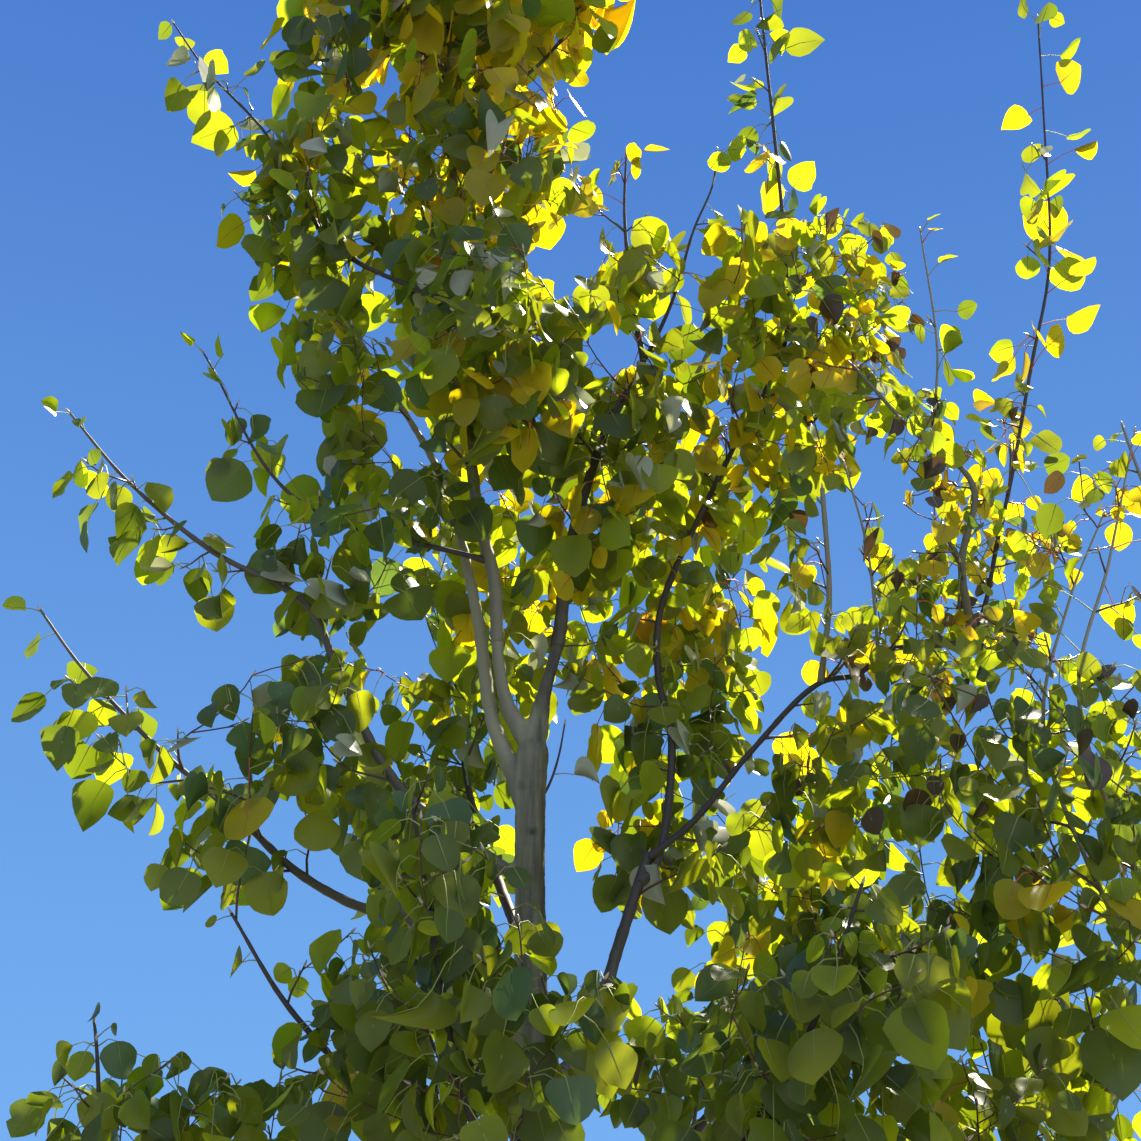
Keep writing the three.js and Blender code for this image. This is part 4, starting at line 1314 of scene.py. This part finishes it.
warm = np.isin(tint, [names.index(n) for n in ("gold", "amber", "yellow_green")])
green_stalks = stalks(np.flatnonzero(kept & ~warm), "leafstalks_green")
red_stalks = stalks(np.flatnonzero(kept & warm), "leafstalks_coral")
print("stalk triangles", triangles_of(green_stalks), triangles_of(red_stalks))

# %% Buds
BUD_LENGTH, BUD_RADIUS = 0.011, 0.0021
BUD_PROFILE = np.array([(0.0, 0.6), (0.3, 1.0), (0.7, 0.6), (1.0, 0.02)])

buds = Heap()
for stem in stems[1:]:
    line = stem["line"]
    ahead = line.towards(line.length)
    tip = line.at(line.length) - ahead * 0.001
    steps = tip + ahead * BUD_PROFILE[:, :1] * BUD_LENGTH
    buds.put(*tube(steps, BUD_PROFILE[:, 1] * BUD_RADIUS, 4))
buds = buds.make("buds")
print("buds", triangles_of(buds))

# %% [markdown]
# ## Bark materials
#
# Poplar bark stays smooth for years. On the trunk it is pale grey with an olive cast
# from the green layer under its skin. It has level rows of corky pores, dark scars, and
# a bloom of pale wax in upright streaks. Young wood is red-brown and polished. One
# material holds both, and the thickness stored in the mesh says which shows. Where the
# wax lies on the trunk's left side and on the shoots at the right it is partly painted
# light, and where the young tone reaches the boughs it is partly painted shade.

# %% Bark
PORE_WIDTH_MM, PORE_HEIGHT_MM, PORE_DEPTH_MM = 14, 3.2, 0.6
PORE_SHARE = 0.30  # a pore's width as a share of the way to the next
STREAK_WIDTH_MM, STREAK_LENGTH_MM, STREAK_DEPTH_MM = 22, 260, 1.0
BLOTCH_MM = 62.5
FLECKS_PER_METRE, FLECK_DEPTH_MM = 300, 0.4  # on young wood
YOUNG_MM, OLD_MM = 12.0, 40.0  # bark turns from the young to the old kind between these thicknesses. That the dark young kind reaches boughs this thick is partly painted shade
# The wax tone is partly painted light and the young tone partly painted shade, where the mesh's numbers put
# them
BARK_TONES = dict(shaded="#403F34", pale="#8E8A6C", olive="#C8C290", pore="#4E4A3C",
                  scar="#26221C", young="#3E362E", wax="#A6A07C")


def stretched(material, place, width_mm, height_mm):
    """Coordinates for a pattern whose marks have this width round the stem and this height along it."""
    across, up = 1 / (width_mm * MM), 1 / (height_mm * MM)
    return add(material, "ShaderNodeMapping", {"Vector": (place, "Object")}, Scale=(across, across, up))


def poplar_bark():
    """Smooth poplar bark: pores and waxy streaks on an olive skin, with painted light in part of the wax
    and painted shade in the young tone on the boughs. The eye gets a soft, pale satin.
    """
    m = new_material("smooth poplar bark")
    tone = {name: linear(colour) for name, colour in BARK_TONES.items()}
    place = add(m, "ShaderNodeTexCoord")
    pore_space = stretched(m, place, PORE_WIDTH_MM, PORE_HEIGHT_MM)
    pores = add(m, "ShaderNodeTexVoronoi", {"Vector": (pore_space, 0)}, Scale=PORE_SHARE, Randomness=1.0)
    pore = add(m, "ShaderNodeMapRange", {"Value": (pores, "Distance")}, From_Min=PORE_SHARE / 3,
               From_Max=PORE_SHARE, To_Min=0.40, To_Max=0.0)
    streak_space = stretched(m, place, STREAK_WIDTH_MM, STREAK_LENGTH_MM)
    streaks = add(m, "ShaderNodeTexNoise", {"Vector": (streak_space, 0)}, Scale=1.0, Detail=4.0,
                  Roughness=0.6)
    blotches = add(m, "ShaderNodeTexNoise", {"Vector": (place, "Object")}, Scale=1 / (BLOTCH_MM * MM),
                   Detail=3.0)
    skin_colour = add(m, "ShaderNodeValToRGB", {"Fac": (streaks, "Fac")})
    ramp = skin_colour.color_ramp
    ramp.elements[0].position, ramp.elements[0].color = 0.36, tone["shaded"]
    ramp.elements[1].position, ramp.elements[1].color = 0.68, tone["pale"]
    olive = add(m, "ShaderNodeMix", {"Factor": (blotches, "Fac"), 6: (skin_colour, "Color"),
                                     7: tone["olive"]}, data_type="RGBA", blend_type="MULTIPLY")
    pored = add(m, "ShaderNodeMix", {"Factor": (pore, 0), 6: (olive, 2), 7: tone["pore"]},
                data_type="RGBA")
    scar = add(m, "ShaderNodeAttribute", attribute_name="scarred")
    scarred_skin = add(m, "ShaderNodeMix", {"Factor": (scar, "Fac"), 6: (pored, 2), 7: tone["scar"]},
                       data_type="RGBA")
    thickness = add(m, "ShaderNodeAttribute", attribute_name="thickness")
    # Thin wood gets the dark young tone, and so do the boughs up to OLD_MM, as painted shade
    age_and_shade = add(m, "ShaderNodeMapRange", {"Value": (thickness, "Fac")}, From_Min=YOUNG_MM, From_Max=OLD_MM)
    aged = add(m, "ShaderNodeMix", {"Factor": (age_and_shade, 0), 6: tone["young"], 7: (scarred_skin, 2)},
               data_type="RGBA")
    # Pale wax over the bark, which on the trunk's left side and on the shoots at the right is partly
    # painted light
    bloom = add(m, "ShaderNodeAttribute", attribute_name="bloom")
    bark_colour = add(m, "ShaderNodeMix", {"Factor": (bloom, "Fac"), 6: (aged, 2), 7: tone["wax"]},
                      data_type="RGBA")
    relief = add(m, "ShaderNodeBump", {"Height": (pore, 0)}, Strength=0.25, Distance=PORE_DEPTH_MM * MM)
    relief = add(m, "ShaderNodeBump", {"Height": (streaks, "Fac"), "Normal": (relief, 0)},
                 Strength=0.25, Distance=STREAK_DEPTH_MM * MM)
    bark = add(m, "ShaderNodeBsdfPrincipled", {"Base_Color": (bark_colour, 2), "Normal": (relief, 0)},
               Roughness=0.62, IOR=1.45)
    return show(m, bark)


def young_skin(name, colour, roughness):
    """The tight, polished skin of twigs, stalks and buds. The eye gets thin highlights along them."""
    m = new_material(name)
    place = add(m, "ShaderNodeTexCoord")
    flecks = add(m, "ShaderNodeTexNoise", {"Vector": (place, "Object")}, Scale=FLECKS_PER_METRE,
                 Detail=2.0)
    relief = add(m, "ShaderNodeBump", {"Height": (flecks, "Fac")}, Strength=0.2,
                 Distance=FLECK_DEPTH_MM * MM)
    skin = add(m, "ShaderNodeBsdfPrincipled", {"Normal": (relief, 0)}, Base_Color=linear(colour),
               Roughness=roughness, IOR=1.45)
    return show(m, skin)


bark = poplar_bark()
for piece in bark_pieces.values():
    piece.data.materials.append(bark)
for piece, name, colour, roughness in (
        (old_twigs, "brown poplar twig", "#54483E", 0.55),
        (young_twigs, "red-brown poplar shoot", "#4E3429", 0.42),
        (green_stalks, "green leafstalk", "#8E9448", 0.60),
        (red_stalks, "coral leafstalk", "#B4573A", 0.60),
        (buds, "silvery bud scales", "#B7A894", 0.40)):
    piece.data.materials.append(young_skin(name, colour, roughness))
print("materials", len(bpy.data.materials))

# %% [markdown]
# ## Standing for the frame
#
# Every piece rides on the tree's one body. The bark of a limb replaces that limb, and
# the twigs, leaves, stalks and buds together replace the masses.

# %% Ride and replace
dressed = {old_twigs: "young_bark", young_twigs: "young_bark", buds: "young_bark",
           green_stalks: "leaf_light", red_stalks: "leaf_gold"}
dressed.update({piece: TINTS[name][-1] for name, piece in leaf_pieces.items()})
for piece, slot in dressed.items():
    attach(piece, "root")
    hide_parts(*mass_names)
for name, piece in bark_pieces.items():
    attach(piece, "root")
    if name in frame["nodes"]:
        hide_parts(name)

# %% Count the triangles and finish
pieces = list(dressed) + list(bark_pieces.values())
print("all triangles", sum(triangles_of(p) for p in pieces))
